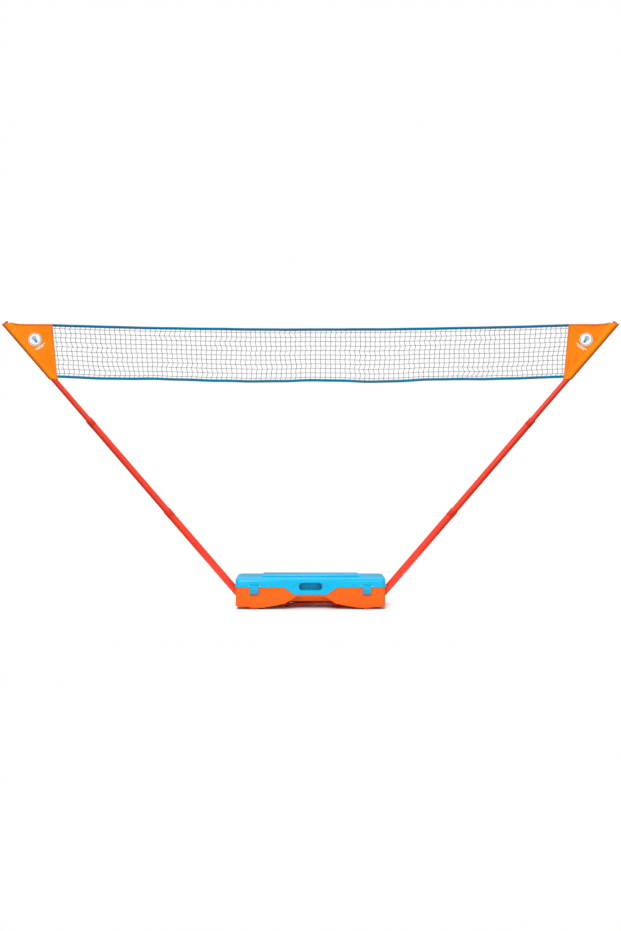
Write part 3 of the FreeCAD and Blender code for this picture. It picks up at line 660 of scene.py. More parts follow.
def piece_from(name: str, mesh: bmesh.types.BMesh, finish: str, smooth: bool = True) -> bpy.types.Object:
    """Turns a bmesh into a piece.

    Args:
        name: The piece's name.
        mesh: The finished geometry, which is freed.
        finish: The key of its material in FINISHES.
        smooth: Whether its faces are shaded smooth.

    Returns:
        The new object.
    """
    data = bpy.data.meshes.new(name)
    for face in mesh.faces:
        face.smooth = smooth
    mesh.to_mesh(data)
    mesh.free()
    data.materials.append(FINISHES[finish])
    thing = bpy.data.objects.new(name, data)
    bpy.context.scene.collection.objects.link(thing)
    return thing


def swept(curve: bpy.types.Curve, radius: float, around: int) -> bmesh.types.BMesh:
    """Gives a curve a round section and turns it into a bmesh.

    Args:
        curve: The curve data, which is removed.
        radius: The section's radius.
        around: How many sides the section has, an even number from 4.

    Returns:
        The swept mesh.
    """
    curve.bevel_depth = radius
    curve.bevel_resolution = max(0, around // 2 - 2)
    curve.use_fill_caps = True
    holder = bpy.data.objects.new("run", curve)
    data = bpy.data.meshes.new_from_object(holder)
    mesh = bmesh.new()
    mesh.from_mesh(data)
    bpy.data.objects.remove(holder)
    bpy.data.curves.remove(curve)
    bpy.data.meshes.remove(data)
    return mesh


def lay_uv(mesh: bmesh.types.BMesh) -> None:
    """Gives upright cloth a UV map in metres, X along and Z up.

    Args:
        mesh: The cloth.
    """
    layer = mesh.loops.layers.uv.new("cloth")
    for face in mesh.faces:
        for loop in face.loops:
            loop[layer].uv = (loop.vert.co.x, loop.vert.co.z)


def skin(mesh: bmesh.types.BMesh, rows: Sequence[Sequence[bmesh.types.BMVert]]) -> None:
    """Fills the squares between rows of vertices.

    Args:
        mesh: The mesh that they are in.
        rows: The rows, all of one length.
    """
    for near, far in zip(rows, rows[1:]):
        for strip in range(len(near) - 1):
            mesh.faces.new((near[strip], near[strip + 1], far[strip + 1], far[strip]))


def poly_line(curve: bpy.types.Curve, points: Sequence[Vector]) -> None:
    """Adds a line of straight stretches to a curve.

    Args:
        curve: The curve.
        points: The line's points.
    """
    spline = curve.splines.new("POLY")
    spline.points.add(len(points) - 1)
    for target, point in zip(spline.points, points):
        target.co = (*point, 1.0)


def new_curve(name: str) -> bpy.types.Curve:
    """Starts a curve in space.

    Args:
        name: The curve's name.

    Returns:
        The empty curve.
    """
    curve = bpy.data.curves.new(name, "CURVE")
    curve.dimensions = "3D"
    return curve


def scatter(mesh: bmesh.types.BMesh, places: Iterable[Matrix], subdivisions: int) -> None:
    """Adds a small ball at every place.

    Args:
        mesh: The mesh that the balls go into.
        places: Each ball's place, turn and radii.
        subdivisions: How fine the balls are.
    """
    seed = bmesh.new()
    bmesh.ops.create_icosphere(seed, subdivisions=subdivisions, radius=1.0)
    pattern = bpy.data.meshes.new("ball")
    seed.to_mesh(pattern)
    seed.free()
    for place in places:
        ball = pattern.copy()
        ball.transform(place)
        mesh.from_mesh(ball)
        bpy.data.meshes.remove(ball)
    bpy.data.meshes.remove(pattern)


def softened_node(
    node: str, finish: str, width: float, segments: int = 2, flatten: bool = True
) -> bpy.types.Object:
    """Stands a copy of a CAD node with rounded edges in the node's place.

    Args:
        node: The CAD node.
        finish: The key of its material.
        width: The width of the rounding, in metres.
        segments: The facets in each rounding.
        flatten: Whether the triangles of flat faces are joined. A ring keeps its own.

    Returns:
        The piece that replaces the node.
    """
    mesh = bmesh.new()
    mesh.from_mesh(frame["nodes"][node].data)
    bmesh.ops.remove_doubles(mesh, verts=mesh.verts, dist=FINE)
    if flatten:
        bmesh.ops.dissolve_limit(
            mesh, angle_limit=math.radians(0.6), verts=mesh.verts, edges=mesh.edges, delimit={"NORMAL"}
        )
    piece = piece_from(f"{node}_finish", mesh, finish)
    bevel = piece.modifiers.new("rounding", "BEVEL")
    bevel.width = width
    bevel.segments = segments
    bevel.limit_method = "ANGLE"
    bevel.angle_limit = math.radians(32)
    bevel.harden_normals = True
    bevel.use_clamp_overlap = True
    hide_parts(node)
    return piece


def dress(node: str, finish: str) -> None:
    """Gives a CAD node its material.

    Args:
        node: The CAD node.
        finish: The key of its material.
    """
    data = frame["nodes"][node].data
    data.materials.clear()
    data.materials.append(FINISHES[finish])


def wave(place: float, *terms: tuple[float, float, float]) -> float:
    """A sum of sines.

    Args:
        place: Where along the line, in metres.
        terms: Height, wavelength and phase of each sine.

    Returns:
        The height of the sum.
    """
    return sum(high * math.sin(FULL_TURN * place / length + phase) for high, length, phase in terms)


def tube_axis(node: str) -> tuple[Vector, Vector, float]:
    """The axis of a tube that leans in the XZ plane, from its box.

    Args:
        node: The CAD node of the tube.

    Returns:
        The lower end, the upper end and the radius.
    """
    low, high = (Vector(corner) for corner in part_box(node))
    radius = (high.y - low.y) / 2
    size = high - low
    along = Vector((size.x, 0.0, size.z)).normalized()
    for _ in range(6):
        run = size.x - 2 * radius * along.z
        rise = size.z - 2 * radius * along.x
        along = Vector((run, 0.0, rise)).normalized()
    middle = (low + high) / 2
    half = Vector((math.copysign(run, middle.x), 0.0, rise)) / 2
    return middle - half, middle + half, radius


def slide_reach(slide: str, follower: str) -> float:
    """How far a slide and the slide that follows it move together.

    Args:
        slide: The joint that leads.
        follower: The joint that is coupled to it.

    Returns:
        The length at the end of the leading slide's range, in metres.
    """
    behaviour = frame["record"]["behaviour"]
    reach = next(joint["range_m"][1] for joint in behaviour["joints"] if joint["name"] == slide)
    ratio = next(link["ratio"] for link in behaviour["couplings"] if link["joint"] == follower)
    return reach + ratio * reach


# ------------------------------------------------------------------------------------------ sub-assemblies


@dataclass
class CarryingCase:
    """The tray, its lid and everything fastened to them."""

    rounding: float = 1.2 * MM
    small_rounding: float = 0.5 * MM
    lid_side: float = 128.0 * MM
    lid_crown: float = 150.0 * MM
    end_fill: float = 16.0 * MM
    well_depth: float = 42.0 * MM
    liner_half: float = 66.0 * MM
    liner_low: float = 84.0 * MM
    liner_high: float = 122.0 * MM
    liner_wall: float = 1.9 * MM
    grip_reach: float = 1.4 * MM
    grip_share: float = 0.42

    def build(self) -> None:
        """Makes and dresses every piece of the case."""
        self.shells()
        self.handle_liner()
        self.fittings()
        for side in Side:
            self.latch_grip(side)

    def shells(self) -> None:
        """The two mouldings with their edges rounded."""
        tray = softened_node("base_tray", "tray", self.rounding)
        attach(tray, "case")
        lid = softened_node("lid", "lid", self.rounding)
        self.square_up(lid)
        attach(lid, "lid")
        log.info("case shells")

    def square_up(self, lid: bpy.types.Object) -> None:
        """Draws the upper part of the lid's ends outward, so that they stand more upright.

        Args:
            lid: The lid's finished piece.
        """
        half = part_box("lid")[1][0]
        for vertex in lid.data.vertices:
            rise = min(1.0, max(0.0, (vertex.co.z - self.lid_side) / (self.lid_crown - self.lid_side)))
            vertex.co.x *= 1.0 + self.end_fill * rise**1.3 / half

    def slab(self, name: str, finish: str, low: Vector, high: Vector, rounding: float) -> bpy.types.Object:
        """A block with rounded edges.

        Args:
            name: The piece's name.
            finish: The key of its material.
            low: Its lowest corner.
            high: Its highest corner.
            rounding: The radius of its edges.

        Returns:
            The piece.
        """
        mesh = bmesh.new()
        place = Matrix.Translation((low + high) / 2) @ Matrix.Diagonal((*(high - low), 1.0))
        bmesh.ops.create_cube(mesh, size=1.0, matrix=place)
        edges = list(mesh.edges)
        bmesh.ops.bevel(mesh, geom=edges, offset=rounding, segments=3, profile=0.5, affect="EDGES")
        return piece_from(name, mesh, finish)

    def handle_liner(self) -> None:
        """The lid's wall behind the finger slot, which closes the view into the tray."""
        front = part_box("base_tray")[0][1] + self.well_depth
        low = Vector((-self.liner_half, front - self.liner_wall, self.liner_low))
        high = Vector((self.liner_half, front - 0.3 * MM, self.liner_high))
        liner = self.slab("handle_liner", "lid", low, high, 0.4 * MM)
        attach(liner, "lid")

    def latch_grip(self, side: Side) -> None:
        """The raised grip across the foot of a latch, in a darker blue that is painted shade of the lower
        tab.
        """
        low, high = (Vector(corner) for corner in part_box(f"{side.word}_latch"))
        margin = 1.5 * MM
        foot = Vector((low.x + margin, low.y - self.grip_reach, low.z + 0.8 * MM))
        head = Vector((high.x - margin, low.y + 2.5 * MM, low.z + (high.z - low.z) * self.grip_share))
        grip = self.slab(f"{side.word}_latch_grip", "grip", foot, head, 0.9 * MM)
        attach(grip, f"{side.word}_latch")

    def fittings(self) -> None:
        """Latches, legs, sockets, pads and pins."""
        for side in Side:
            latch = softened_node(f"{side.word}_latch", "latch", self.small_rounding)
            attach(latch, f"{side.word}_latch")
            socket = softened_node(f"{side.word}_pole_socket", "tray", self.small_rounding)
            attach(socket, "case")
            dress(f"{side.word}_latch_pin", "pin")
            dress(f"{side.word}_hinge_pin", "pin")
        for end in ("front", "rear"):
            leg = softened_node(f"{end}_stabiliser_leg", "leg", self.rounding)
            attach(leg, f"{end}_leg")
            dress(f"{end}_leg_foot", "pad")
            dress(f"{end}_leg_pin", "pin")
        dress("foot_pads", "pad")
        log.info("case fittings")


@dataclass
class TelescopicPole:
    """One pole: three tubes with their collars, bushes, plug and cap."""

    side: Side
    collar_share: float = 0.5

    def build(self) -> None:
        """Dresses every piece of the pole."""
        word = self.side.word
        for section in ("lower", "middle", "upper"):
            dress(f"{word}_{section}_tube", "pole")
        for section, body in (("lower", "case"), ("middle", f"{word}_middle_section")):
            ring = softened_node(f"{word}_{section}_collar", "collar", 0.5 * MM, flatten=False)
            self.slim(ring, f"{word}_{section}_tube")
            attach(ring, body)
        for section in ("middle", "upper"):
            dress(f"{word}_{section}_bush", "bush")
        dress(f"{word}_end_plug", "bush")
        cap = softened_node(f"{word}_tip_cap", "cap", 2.0 * MM, 3)
        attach(cap, f"{word}_upper_section")
        log.info("%s pole", word)


    def slim(self, ring: bpy.types.Object, tube: str) -> None:
        """Draws a collar's outer skin in towards the tube that it sits on.

        Args:
            ring: The collar's finished piece.
            tube: The CAD node of that tube.
        """
        start, stop, radius = tube_axis(tube)
        direction = (stop - start).normalized()
        for vertex in ring.data.vertices:
            foot = start + direction * (vertex.co - start).dot(direction)
            spoke = vertex.co - foot
            if spoke.length > radius:
                drawn_in = radius + (spoke.length - radius) * self.collar_share
                vertex.co = foot + spoke * (drawn_in / spoke.length)


@dataclass
class HangingLine:
    """A line across the net that sags to the middle and ripples a little."""

    reach: float
    end_height: float
    middle_height: float
    ripple: tuple[tuple[float, float, float], ...] = ()

    def height(self, across: float) -> float:
        """The line's height above the floor.

        Args:
            across: X, in metres.

        Returns:
            Z, in metres.
        """
        share = min(1.0, abs(across) / self.reach)
        sag = self.middle_height + (self.end_height - self.middle_height) * share * share
        return sag + wave(across, *self.ripple) * (1.0 - share**4)


@dataclass
class NetField:
    """The knotted net and its tapes, in two halves that meet in the middle."""

    mesh_wide: float = 24.6 * MM
    rows: int = 11
    edge_row: float = 9.0 * MM
    string: float = 2.1 * MM
    knot: float = 3.6 * MM
    row_sway: float = 11.0 * MM
    knot_sway: float = 1.0 * MM
    bow: float = 1.7 * MM
    slack: float = 0.9 * MM
    tape_width: float = 12.5 * MM
    tape_wall: float = 0.8 * MM
    tape_gap: float = 1.0 * MM
    tape_step: float = 8.0 * MM
    stitch_pitch: float = 6.0 * MM
    stitch_rise: float = 2.2 * MM
    stitch_radii: tuple[float, float, float] = (1.9 * MM, 0.32 * MM, 0.38 * MM)
    rim_fade: float = 50.0 * MM
    keep: float = field(init=False)
    top: HangingLine = field(init=False)
    bottom: HangingLine = field(init=False)

    def __post_init__(self) -> None:
        """Reads the net's place and the poles' slide reach from the frame."""
        low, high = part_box("left_top_tape")
        top_ripple = ((0.4 * MM, 0.61, 0.4), (0.25 * MM, 0.23, 1.1))
        self.top = HangingLine(-low[0], high[2] - self.tape_width, low[2], top_ripple)
        low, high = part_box("left_bottom_tape")
        bottom_ripple = ((3.2 * MM, 0.69, math.pi / 2), (1.2 * MM, 0.47, 0.3), (0.6 * MM, 0.19, 2.0))
        self.bottom = HangingLine(-low[0], high[2], low[2] + self.tape_width - 2 * MM, bottom_ripple)
        start, stop, _ = tube_axis("left_upper_tube")
        lean = abs((stop - start).normalized().x)
        reach = slide_reach("left_middle_slide", "left_upper_slide")
        self.keep = 1.0 - lean * reach / self.top.reach

    def build(self) -> None:
        """Makes both halves."""
        for side in Side:
            self.strings(side)
            self.tape(side, "top_tape", self.top, 1)
            self.tape(side, "bottom_tape", self.bottom, -1)

    def edge(self, height: float) -> float:
        """How far out the net reaches at a height: the slanted seam of the corner panel.

        Args:
            height: The height, in metres.

        Returns:
            The distance from the middle, in metres.
        """
        rise = (height - self.bottom.end_height) / (self.top.end_height - self.bottom.end_height)
        return self.bottom.reach + (self.top.reach - self.bottom.reach) * min(1.0, max(0.0, rise))

    def settle(self, piece: bpy.types.Object, side: Side, node: str, slot: str) -> None:
        """Makes a piece ride with its half of the net.

        Args:
            piece: The piece.
            side: Its half.
            node: The CAD node it stands for.
            slot: Not used.
        """
        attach(piece, f"{side.word}_upper_section")
        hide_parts(node)
        self.fold(piece)

    def fold(self, piece: bpy.types.Object) -> None:
        """Gives a piece its own copy of its mesh."""
        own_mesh(piece)

    def knot_place(self, column: int, row: int) -> Vector:
        """Where a knot is.

        Args:
            column: The knot's column, below 0 in the left half.
            row: Its row, from 0 at the top; -1 and rows are inside the tapes.

        Returns:
            The knot's place.
        """
        across = column * self.mesh_wide
        high = self.top.height(across)
        low = self.bottom.height(across)
        pitch = (high - low - 2 * self.edge_row) / (self.rows - 1)
        height = high - self.edge_row - row * pitch
        if row < 0:
            height = high + self.tape_width / 3
        if row >= self.rows:
            height = low - self.tape_width / 3
        across *= self.edge(height) / self.top.reach
        drift = noise.noise(Vector((row * 0.83, column * 0.09, 3.0))) * self.row_sway
        sway = noise.noise(Vector((column * 7.1, row * 5.3, 1.0))) * self.knot_sway
        drop = noise.noise(Vector((column * 6.7, row * 4.9, 8.0))) * self.knot_sway
        fade = min(1.0, (self.top.reach - abs(across)) / self.rim_fade)
        return Vector((across + (drift + sway) * fade, 0.0, height + drop))

    def strings(self, side: Side) -> None:
        """The knotted strings of one half."""
        rng = random.Random(SEED + side.value)
        columns = range(0, int(self.top.reach / self.mesh_wide) + 1)
        levels = range(-1, self.rows + 1)
        knots = {(c, r): self.knot_place(side.value * c, r) for c in columns for r in levels}
        inside = {key: place for key, place in knots.items() if abs(place.x) < self.edge(place.z) - 3 * MM}
        curve = new_curve("strings")
        for row in range(self.rows):
            line = [inside[c, row] for c in columns if (c, row) in inside]
            rim = line[-1].copy()
            rim.x = side.value * (self.edge(rim.z) + MM)
            self.thread(curve, line + [rim], Vector((0.0, 0.0, -self.slack)), rng)
        for column in columns:
            line = [inside[column, r] for r in levels if (column, r) in inside]
            if len(line) > 1 and not (column == 0 and side is Side.LEFT):
                self.thread(curve, line, Vector((self.bow, 0.0, 0.0)), rng)
        mesh = swept(curve, self.string / 2, 6)
        places = []
        for (_, row), place in inside.items():
            if 0 <= row < self.rows:
                size = self.knot / 2 * rng.uniform(0.85, 1.1)
                radii = (size, size * 0.8, size * rng.uniform(0.9, 1.2), 1.0)
                places.append(Matrix.Translation(place) @ Matrix.Diagonal(radii))
        scatter(mesh, places, 2)
        piece = piece_from(f"{side.word}_net_strings", mesh, "twine")
        self.settle(piece, side, f"{side.word}_net", "net_cord")
        log.info("%s net: %d knots", side.word, len(inside))

    def thread(self, curve: bpy.types.Curve, knots: list[Vector], bulge: Vector, rng: random.Random) -> None:
        """Adds one string through its knots, bowed between them.

        Args:
            curve: The curve that gathers the strings.
            knots: The knots in order.
            bulge: How far the middle of a stretch is off the straight line.
            rng: The source of variation.
        """
        points = [knots[0]]
        for number, (first, second) in enumerate(zip(knots, knots[1:])):
            turn = -1.0 if bulge.x and number % 2 else 1.0
            offset = bulge * (turn * rng.uniform(0.3, 1.0)) + Vector((0.0, rng.uniform(-0.4, 0.4) * MM, 0.0))
            for share in (0.25, 0.5, 0.75):
                points.append(first.lerp(second, share) + offset * (4 * share * (1 - share)))
            points.append(second)
        poly_line(curve, points)

    def tape(self, side: Side, word: str, line: HangingLine, up: int) -> None:
        """One half of a tape: a ribbon folded over the net's edge, with a row of stitches.

        Args:
            side: The half.
            word: The tape's name.
            line: The tape's inner edge.
            up: 1 where the fold is above the net, -1 where it is below.
        """
        steps = int(line.reach / self.tape_step)
        half_gap = self.tape_gap / 2
        section = [(half_gap, 0.0), (half_gap, self.tape_width * 0.5), (half_gap, self.tape_width - 1.2 * MM)]
        section += [(half_gap * 0.6, self.tape_width - 0.5 * MM), (0.0, self.tape_width - 0.3 * MM)]
        section += [(-depth, rise) for depth, rise in reversed(section[:-1])]
        mesh = bmesh.new()
        rows = []
        for step in range(steps + 1):
            across = side.value * line.reach * step / steps
            swell = 1.0 + 0.25 * math.sin(across * 37.0) * math.sin(across * 11.0 + 0.7)
            lean = wave(across, (0.5 * MM, 0.31, 0.0), (0.3 * MM, 0.12, 1.0))
            row = []
            for depth, rise in section:
                outward = rise / self.tape_width
                place = (across, depth * swell + lean * outward, line.height(across) + up * rise)
                row.append(mesh.verts.new(place))
            rows.append(row)
        for near, far in zip(rows, rows[1:]):
            for strip in range(len(section) - 1):
                mesh.faces.new((near[strip], far[strip], far[strip + 1], near[strip + 1]))
        lay_uv(mesh)
        bmesh.ops.recalc_face_normals(mesh, faces=mesh.faces)
        piece = piece_from(f"{side.word}_{word}_ribbon", mesh, "tape")
        solid = piece.modifiers.new("wall", "SOLIDIFY")
        solid.thickness = self.tape_wall
        solid.offset = 0.0
        stitches = self.stitch_row(side, line, up, f"{side.word}_{word}_stitches")
        self.settle(piece, side, f"{side.word}_{word}", "tape_fabric")
        log.info("%s %s", side.word, word)

    def stitch_row(self, side: Side, line: HangingLine, up: int, name: str) -> bpy.types.Object:
        """A row of stitches near the tape's open edge.

        Args:
            side: The half.
            line: The tape's inner edge.
            up: The way the tape stands from that edge.
            name: The piece's name.

        Returns:
            The stitches, as one piece.
        """
        mesh = bmesh.new()
        count = int(line.reach / self.stitch_pitch)
        places = []
        for face in (-1, 1):
            for number in range(count):
                across = side.value * (number + 0.5) * self.stitch_pitch
                slope = line.height(across + MM) - line.height(across)
                out = self.tape_gap / 2 + self.tape_wall * 0.6
                place = Matrix.Translation((across, face * out, line.height(across) + up * self.stitch_rise))
                turn = Matrix.Rotation(-math.atan2(slope, MM), 4, "Y")
                places.append(place @ turn @ Matrix.Diagonal((*self.stitch_radii, 1.0)))
        scatter(mesh, places, 1)
        piece = piece_from(name, mesh, "stitch")
        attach(piece, f"{side.word}_upper_section")
        self.fold(piece)
        return piece


@dataclass
class CornerPanel:
    """A fabric corner: a sleeve round the pole's tip and the flat panel that runs to the net."""

    side: Side
    net: NetField
    sleeve_gap: float = 0.9 * MM
    heel_stitch: float = 15.4 * MM
    tip_stitch: float = 21.0 * MM
    tip_lift: float = 8.0 * MM
    piping: float = 2.6 * MM
    along: int = 90
    across: int = 70
    around: int = 22
    wall: float = 0.8 * MM
    crease: float = 5.0 * MM
    hem_width: float = 9.0 * MM
    hem_wall: float = 0.5 * MM
    hem_steps: int = 60
    hem_strips: int = 3
    stitch_pitch: float = 5.5 * MM
    stitch_inset: float = 7.5 * MM
    stitch_radius: float = 0.35 * MM

    def __post_init__(self) -> None:
        """Finds the pole's line and the panel's four corners from the frame."""
        word = self.side.word
        self.sign = self.side.value
        start, stop, radius = tube_axis(f"{word}_upper_tube")
        self.radius = radius + self.sleeve_gap
        direction = (stop - start).normalized()
        self.stretch = 1.0 / direction.z
        seam_top = self.net.top.end_height + self.net.tape_width
        seam_low = self.net.bottom.end_height - self.net.tape_width
        self.tip = start + direction * ((seam_top - start.z) / direction.z)
        self.heel = start + direction * ((seam_low - 8 * MM - start.z) / direction.z)
        self.top_in = Vector((self.sign * self.net.top.reach, 0.0, seam_top))
        self.bottom_in = Vector((self.sign * self.net.bottom.reach, 0.0, seam_low))

    def build(self) -> None:
        """Makes the cloth, its hems and its stitches."""
        cloth = self.cloth()
        trims = [self.hem("top", 0.0), self.hem("seam", 1.0), self.stitches(), self.edge_piping()]
        length = (self.tip - self.heel).length
        log.info("%s corner panel", self.side.word)

    def settle(self, piece: bpy.types.Object, wall: float) -> bpy.types.Object:
        """Thickens a piece of cloth and fastens it to the pole's top section.

        Args:
            piece: The piece.
            wall: Its thickness, or 0 to leave it as it is.

        Returns:
            The piece.
        """
        if wall:
            solid = piece.modifiers.new("wall", "SOLIDIFY")
            solid.thickness = wall
            solid.offset = 0.0
        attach(piece, f"{self.side.word}_upper_section")
        return piece

    def place(self, share: float, reach: float) -> Vector:
        """A point of the flat panel.

        Args:
            share: 0 at the lower edge and 1 at the upper.
            reach: 0 at the stitch line beside the pole and 1 at the net.

        Returns:
            The point.
        """
        pole = self.heel.lerp(self.tip, share)
        start = pole - Vector((self.sign * self.stitch_line(share) * self.stretch, 0.0, 0.0))
        point = start.lerp(self.bottom_in.lerp(self.top_in, share), reach)
        point.z += self.lift(share) * (1.0 - min(1.0, reach)) ** 8
        point.y = self.relief(share, reach)
        return point

    def stitch_line(self, share: float) -> float:
        """How far the sleeve's seam is from the pole's axis, from the lower edge at 0 to the upper at 1.

        Args:
            share: The share of the way up the panel.

        Returns:
            The distance, in metres.
        """
        return self.heel_stitch + (self.tip_stitch - self.heel_stitch) * share

    def lift(self, share: float) -> float:
        """How much the upper edge rises over the pole's cap on its inner side.

        Args:
            share: The share of the way along that edge.

        Returns:
            The rise, in metres.
        """
        return self.tip_lift * share**12

    def relief(self, share: float, reach: float) -> float:
        """Depth of the creases at a place on the panel.

        Args:
            share: 0 at the lower edge and 1 at the upper.
            reach: 0 at the stitch line and 1 at the net.

        Returns:
            The depth, in metres.
        """
        hold = math.sin(math.pi * min(1.0, max(0.0, reach))) ** 0.7
        hold *= 1.0 - abs(2 * share - 1) ** 5
        fan = math.atan2(1.05 - share, 1.3 - reach)
        far = math.hypot(1.05 - share, 1.3 - reach)
        folds = noise.noise(Vector((fan * 5.5, far * 0.9, 4.0 * self.sign)))
        small = noise.noise(Vector((fan * 15.0, far * 2.2, 9.0 + self.sign)))
        return self.crease * hold * (folds + 0.35 * small)

    def sleeve_section(self, share: float) -> list[tuple[float, float]]:
        """The sleeve's section: a drop shape round the pole.

        Args:
            share: 0 at the lower edge and 1 at the upper.

        Returns:
            Pairs of inward distance and depth.
        """
        tangent = math.acos(self.radius / self.stitch_line(share))
        section = [(self.stitch_line(share), 0.3 * MM)]
        for step in range(self.around + 1):
            angle = tangent + (FULL_TURN - 2 * tangent) * step / self.around
            section.append((self.radius * math.cos(angle), self.radius * math.sin(angle)))
        return section

    def cloth(self) -> bpy.types.Object:
        """The sleeve and the panel, one sheet of cloth."""
        mesh = bmesh.new()
        rows = []
        for step in range(self.along + 1):
            share = step / self.along
            pole = self.heel.lerp(self.tip, share)
            row = []
            for inward, depth in self.sleeve_section(share):
                rise = self.lift(share) * max(0.0, inward) / self.stitch_line(share)
                offset = Vector((-self.sign * inward * self.stretch, depth, rise))
                row.append(mesh.verts.new(pole + offset))
            for strip in range(self.across + 1):
                row.append(mesh.verts.new(self.place(share, strip / self.across)))
            rows.append(row)
        skin(mesh, rows)
        lay_uv(mesh)
        bmesh.ops.recalc_face_normals(mesh, faces=mesh.faces)
        piece = piece_from(f"{self.side.word}_corner_cloth", mesh, "corner")
        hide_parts(f"{self.side.word}_corner_panel")
        return self.settle(piece, self.wall)

    def hem(self, name: str, reach: float) -> bpy.types.Object:
        """A folded edge on both faces of the panel.

        Args:
            name: Which edge it is.
            reach: 1 for the edge at the net, 0 for the top edge.

        Returns:
            The hem.
        """
        mesh = bmesh.new()
        long = (self.top_in - self.bottom_in).length if reach else (self.top_in - self.tip).length
        wide = self.hem_width / ((self.top_in - self.tip).length if reach else (self.tip - self.heel).length)
        for face_side in (-1, 1):
            out = face_side * (self.wall / 2 + 0.35 * MM)
            rows = []
            for step in range(self.hem_steps + 1):
                row = []
                for strip in range(self.hem_strips + 1):
                    run = step / self.hem_steps
                    inset = wide * strip / self.hem_strips
                    at = (run, 1.0 - inset) if reach else (1.0 - inset, run)
                    row.append(mesh.verts.new(self.place(*at) + Vector((0.0, out, 0.0))))
                rows.append(row)
            skin(mesh, rows)
        lay_uv(mesh)
        log.info("hem %s is %.0f mm long", name, long / MM)
        return self.settle(piece_from(f"{self.side.word}_{name}_hem", mesh, "hem"), self.hem_wall)

    def edge_piping(self) -> bpy.types.Object:
        """A dark red strip along the sleeve's outer edge, painted shade of the sleeve's rounded side."""
        out = Vector((self.sign * (self.radius + self.piping * 0.4) * self.stretch, 0.0, 0.0))
        curve = new_curve("piping")
        steps = [step / self.along for step in range(self.along + 1)]
        poly_line(curve, [self.heel.lerp(self.tip, share) + out for share in steps])
        mesh = swept(curve, self.piping, 12)
        return self.settle(piece_from(f"{self.side.word}_edge_piping", mesh, "piping"), 0.0)

    def stitches(self) -> bpy.types.Object:
        """Rows of stitches on the hems and beside the pole."""
        mesh = bmesh.new()
        across = (self.top_in - self.tip).length
        tall = (self.tip - self.heel).length
        inset_across = self.stitch_inset / across
        inset_up = self.stitch_inset / tall
        lines = (
            ((0.01, 1.0 - inset_across), (0.99, 1.0 - inset_across), tall * 0.78),
            ((1.0 - inset_up, 0.02), (1.0 - inset_up, 0.98), across),
            ((0.01, 0.015), (0.99, 0.015), tall),
        )
        places = []
        for (first_share, first_reach), (last_share, last_reach), length in lines:
            count = int(length / self.stitch_pitch)
            for number in range(count):
                ends = []
                for at in ((number + 0.2) / count, (number + 0.8) / count):
                    share = first_share + (last_share - first_share) * at
                    reach = first_reach + (last_reach - first_reach) * at
                    ends.append(self.place(share, reach))
                middle = (ends[0] + ends[1]) / 2
                step = ends[1] - ends[0]
                turn = step.to_track_quat("X", "Z").to_matrix().to_4x4()
                size = Matrix.Diagonal((step.length / 2, self.stitch_radius, self.stitch_radius, 1.0))
                for face_side in (-1, 1):
                    out = face_side * (self.wall / 2 + 0.7 * MM)
                    place = Matrix.Translation(middle + Vector((0.0, out, 0.0)))
                    places.append(place @ turn @ size)
        scatter(mesh, places, 1)
        return self.settle(piece_from(f"{self.side.word}_corner_stitches", mesh, "orange_stitch"), 0.0)


# ------------------------------------------------------------------------------------------ studio


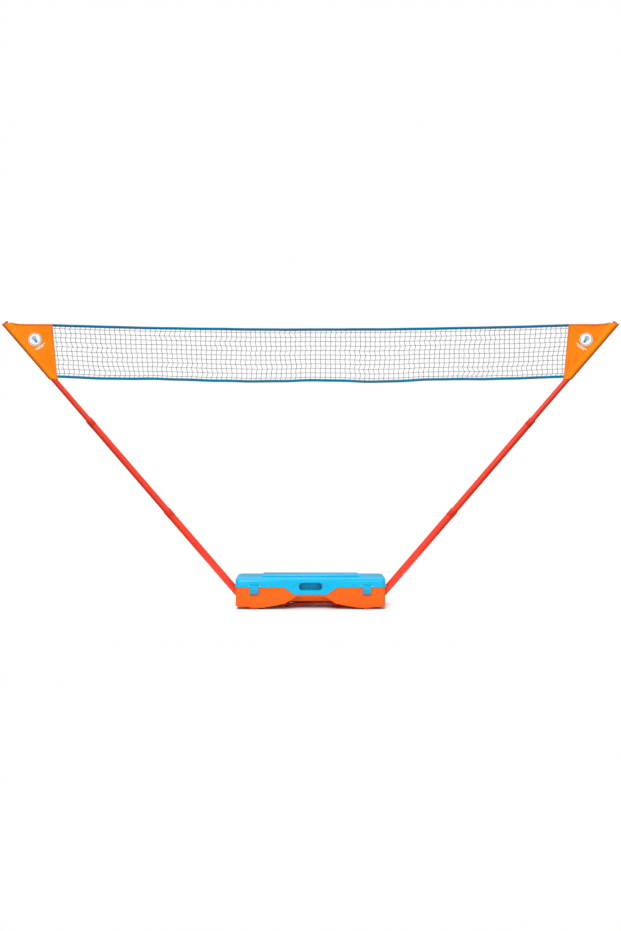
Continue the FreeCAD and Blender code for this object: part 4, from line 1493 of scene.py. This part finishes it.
@dataclass(frozen=True)
class Studio:
    """The plain pale floor, the soft light and the camera."""

    distance: float = 4.6
    eye_height: float = 0.69
    view_height: float = 4.567486
    sensor: float = 36.0
    floor_size: float = 1.7
    floor_colour: Colour = (0.92, 0.92, 0.92)
    far_clip: float = 200.0
    room_light: float = 0.9
    glow_heights: tuple[float, float] = (-0.25, 0.9)
    glow_levels: tuple[float, float] = (0.2, 1.0)
    suns: tuple[tuple[str, tuple[float, float, float], float, float], ...] = (
        ("key", (43.0, 0.0, -12.0), 2.3, 25.0),
        ("fill", (78.0, 0.0, 8.0), 0.5, 60.0),
        ("rim", (-30.0, 0.0, 10.0), 0.7, 40.0),
    )

    def build(self) -> None:
        """Sets up everything that isn't part of the object."""
        self.camera()
        self.floor()
        self.room()
        self.lights()
        scene = bpy.context.scene
        scene.view_settings.view_transform = "Standard"
        scene.view_settings.look = "None"

    def camera(self) -> None:
        """A level camera on the centre line, in front of the case."""
        data = bpy.data.cameras.new("camera")
        data.sensor_fit = "VERTICAL"
        data.sensor_height = self.sensor
        data.lens = self.distance * self.sensor / self.view_height
        data.clip_end = self.far_clip
        thing = bpy.data.objects.new("camera", data)
        thing.location = (0.0, -self.distance, self.eye_height)
        thing.rotation_euler = (math.pi / 2, 0.0, 0.0)
        bpy.context.scene.collection.objects.link(thing)
        bpy.context.scene.camera = thing

    def floor(self) -> None:
        """A plain pale floor."""
        material = Shader("floor").finish(Base_Color=self.floor_colour, Roughness=0.7)
        FINISHES["floor"] = material
        mesh = bmesh.new()
        bmesh.ops.create_grid(mesh, x_segments=1, y_segments=1, size=self.floor_size / 2)
        piece_from("floor", mesh, "floor", smooth=False)

    def room(self) -> None:
        """A white backdrop, and a dimmer light from all round that fades toward the floor."""
        world = bpy.data.worlds.new("room")
        world.use_nodes = True
        nodes = NodeTree(world.node_tree)
        place = nodes.add("ShaderNodeTexCoord", {}, out="Generated")
        height = nodes.axes(place)[2]
        glow = nodes.add("ShaderNodeMapRange", {}, height, *self.glow_heights, *self.glow_levels)
        room = nodes.add("ShaderNodeBackground", {}, glow, self.room_light)
        backdrop = nodes.add("ShaderNodeBackground", {}, WHITE, 1.0)
        straight = nodes.add("ShaderNodeLightPath", {}, out="Is Camera Ray")
        mixed = nodes.add("ShaderNodeMixShader", {}, straight, room, backdrop)
        nodes.node("ShaderNodeOutputWorld", {}, mixed)
        bpy.context.scene.world = world

    def lights(self) -> None:
        """A soft key light from above, a frontal fill and a light from behind."""
        for name, turn, power, softness in self.suns:
            data = bpy.data.lights.new(name, "SUN")
            data.energy = power
            data.angle = math.radians(softness)
            thing = bpy.data.objects.new(name, data)
            thing.rotation_euler = tuple(math.radians(angle) for angle in turn)
            bpy.context.scene.collection.objects.link(thing)


def main() -> None:
    """Builds the object and the studio."""
    Studio().build()
    CarryingCase().build()
    for side in Side:
        TelescopicPole(side).build()
    net = NetField()
    net.build()
    for side in Side:
        CornerPanel(side, net).build()


if __name__ == "__main__":
    main()
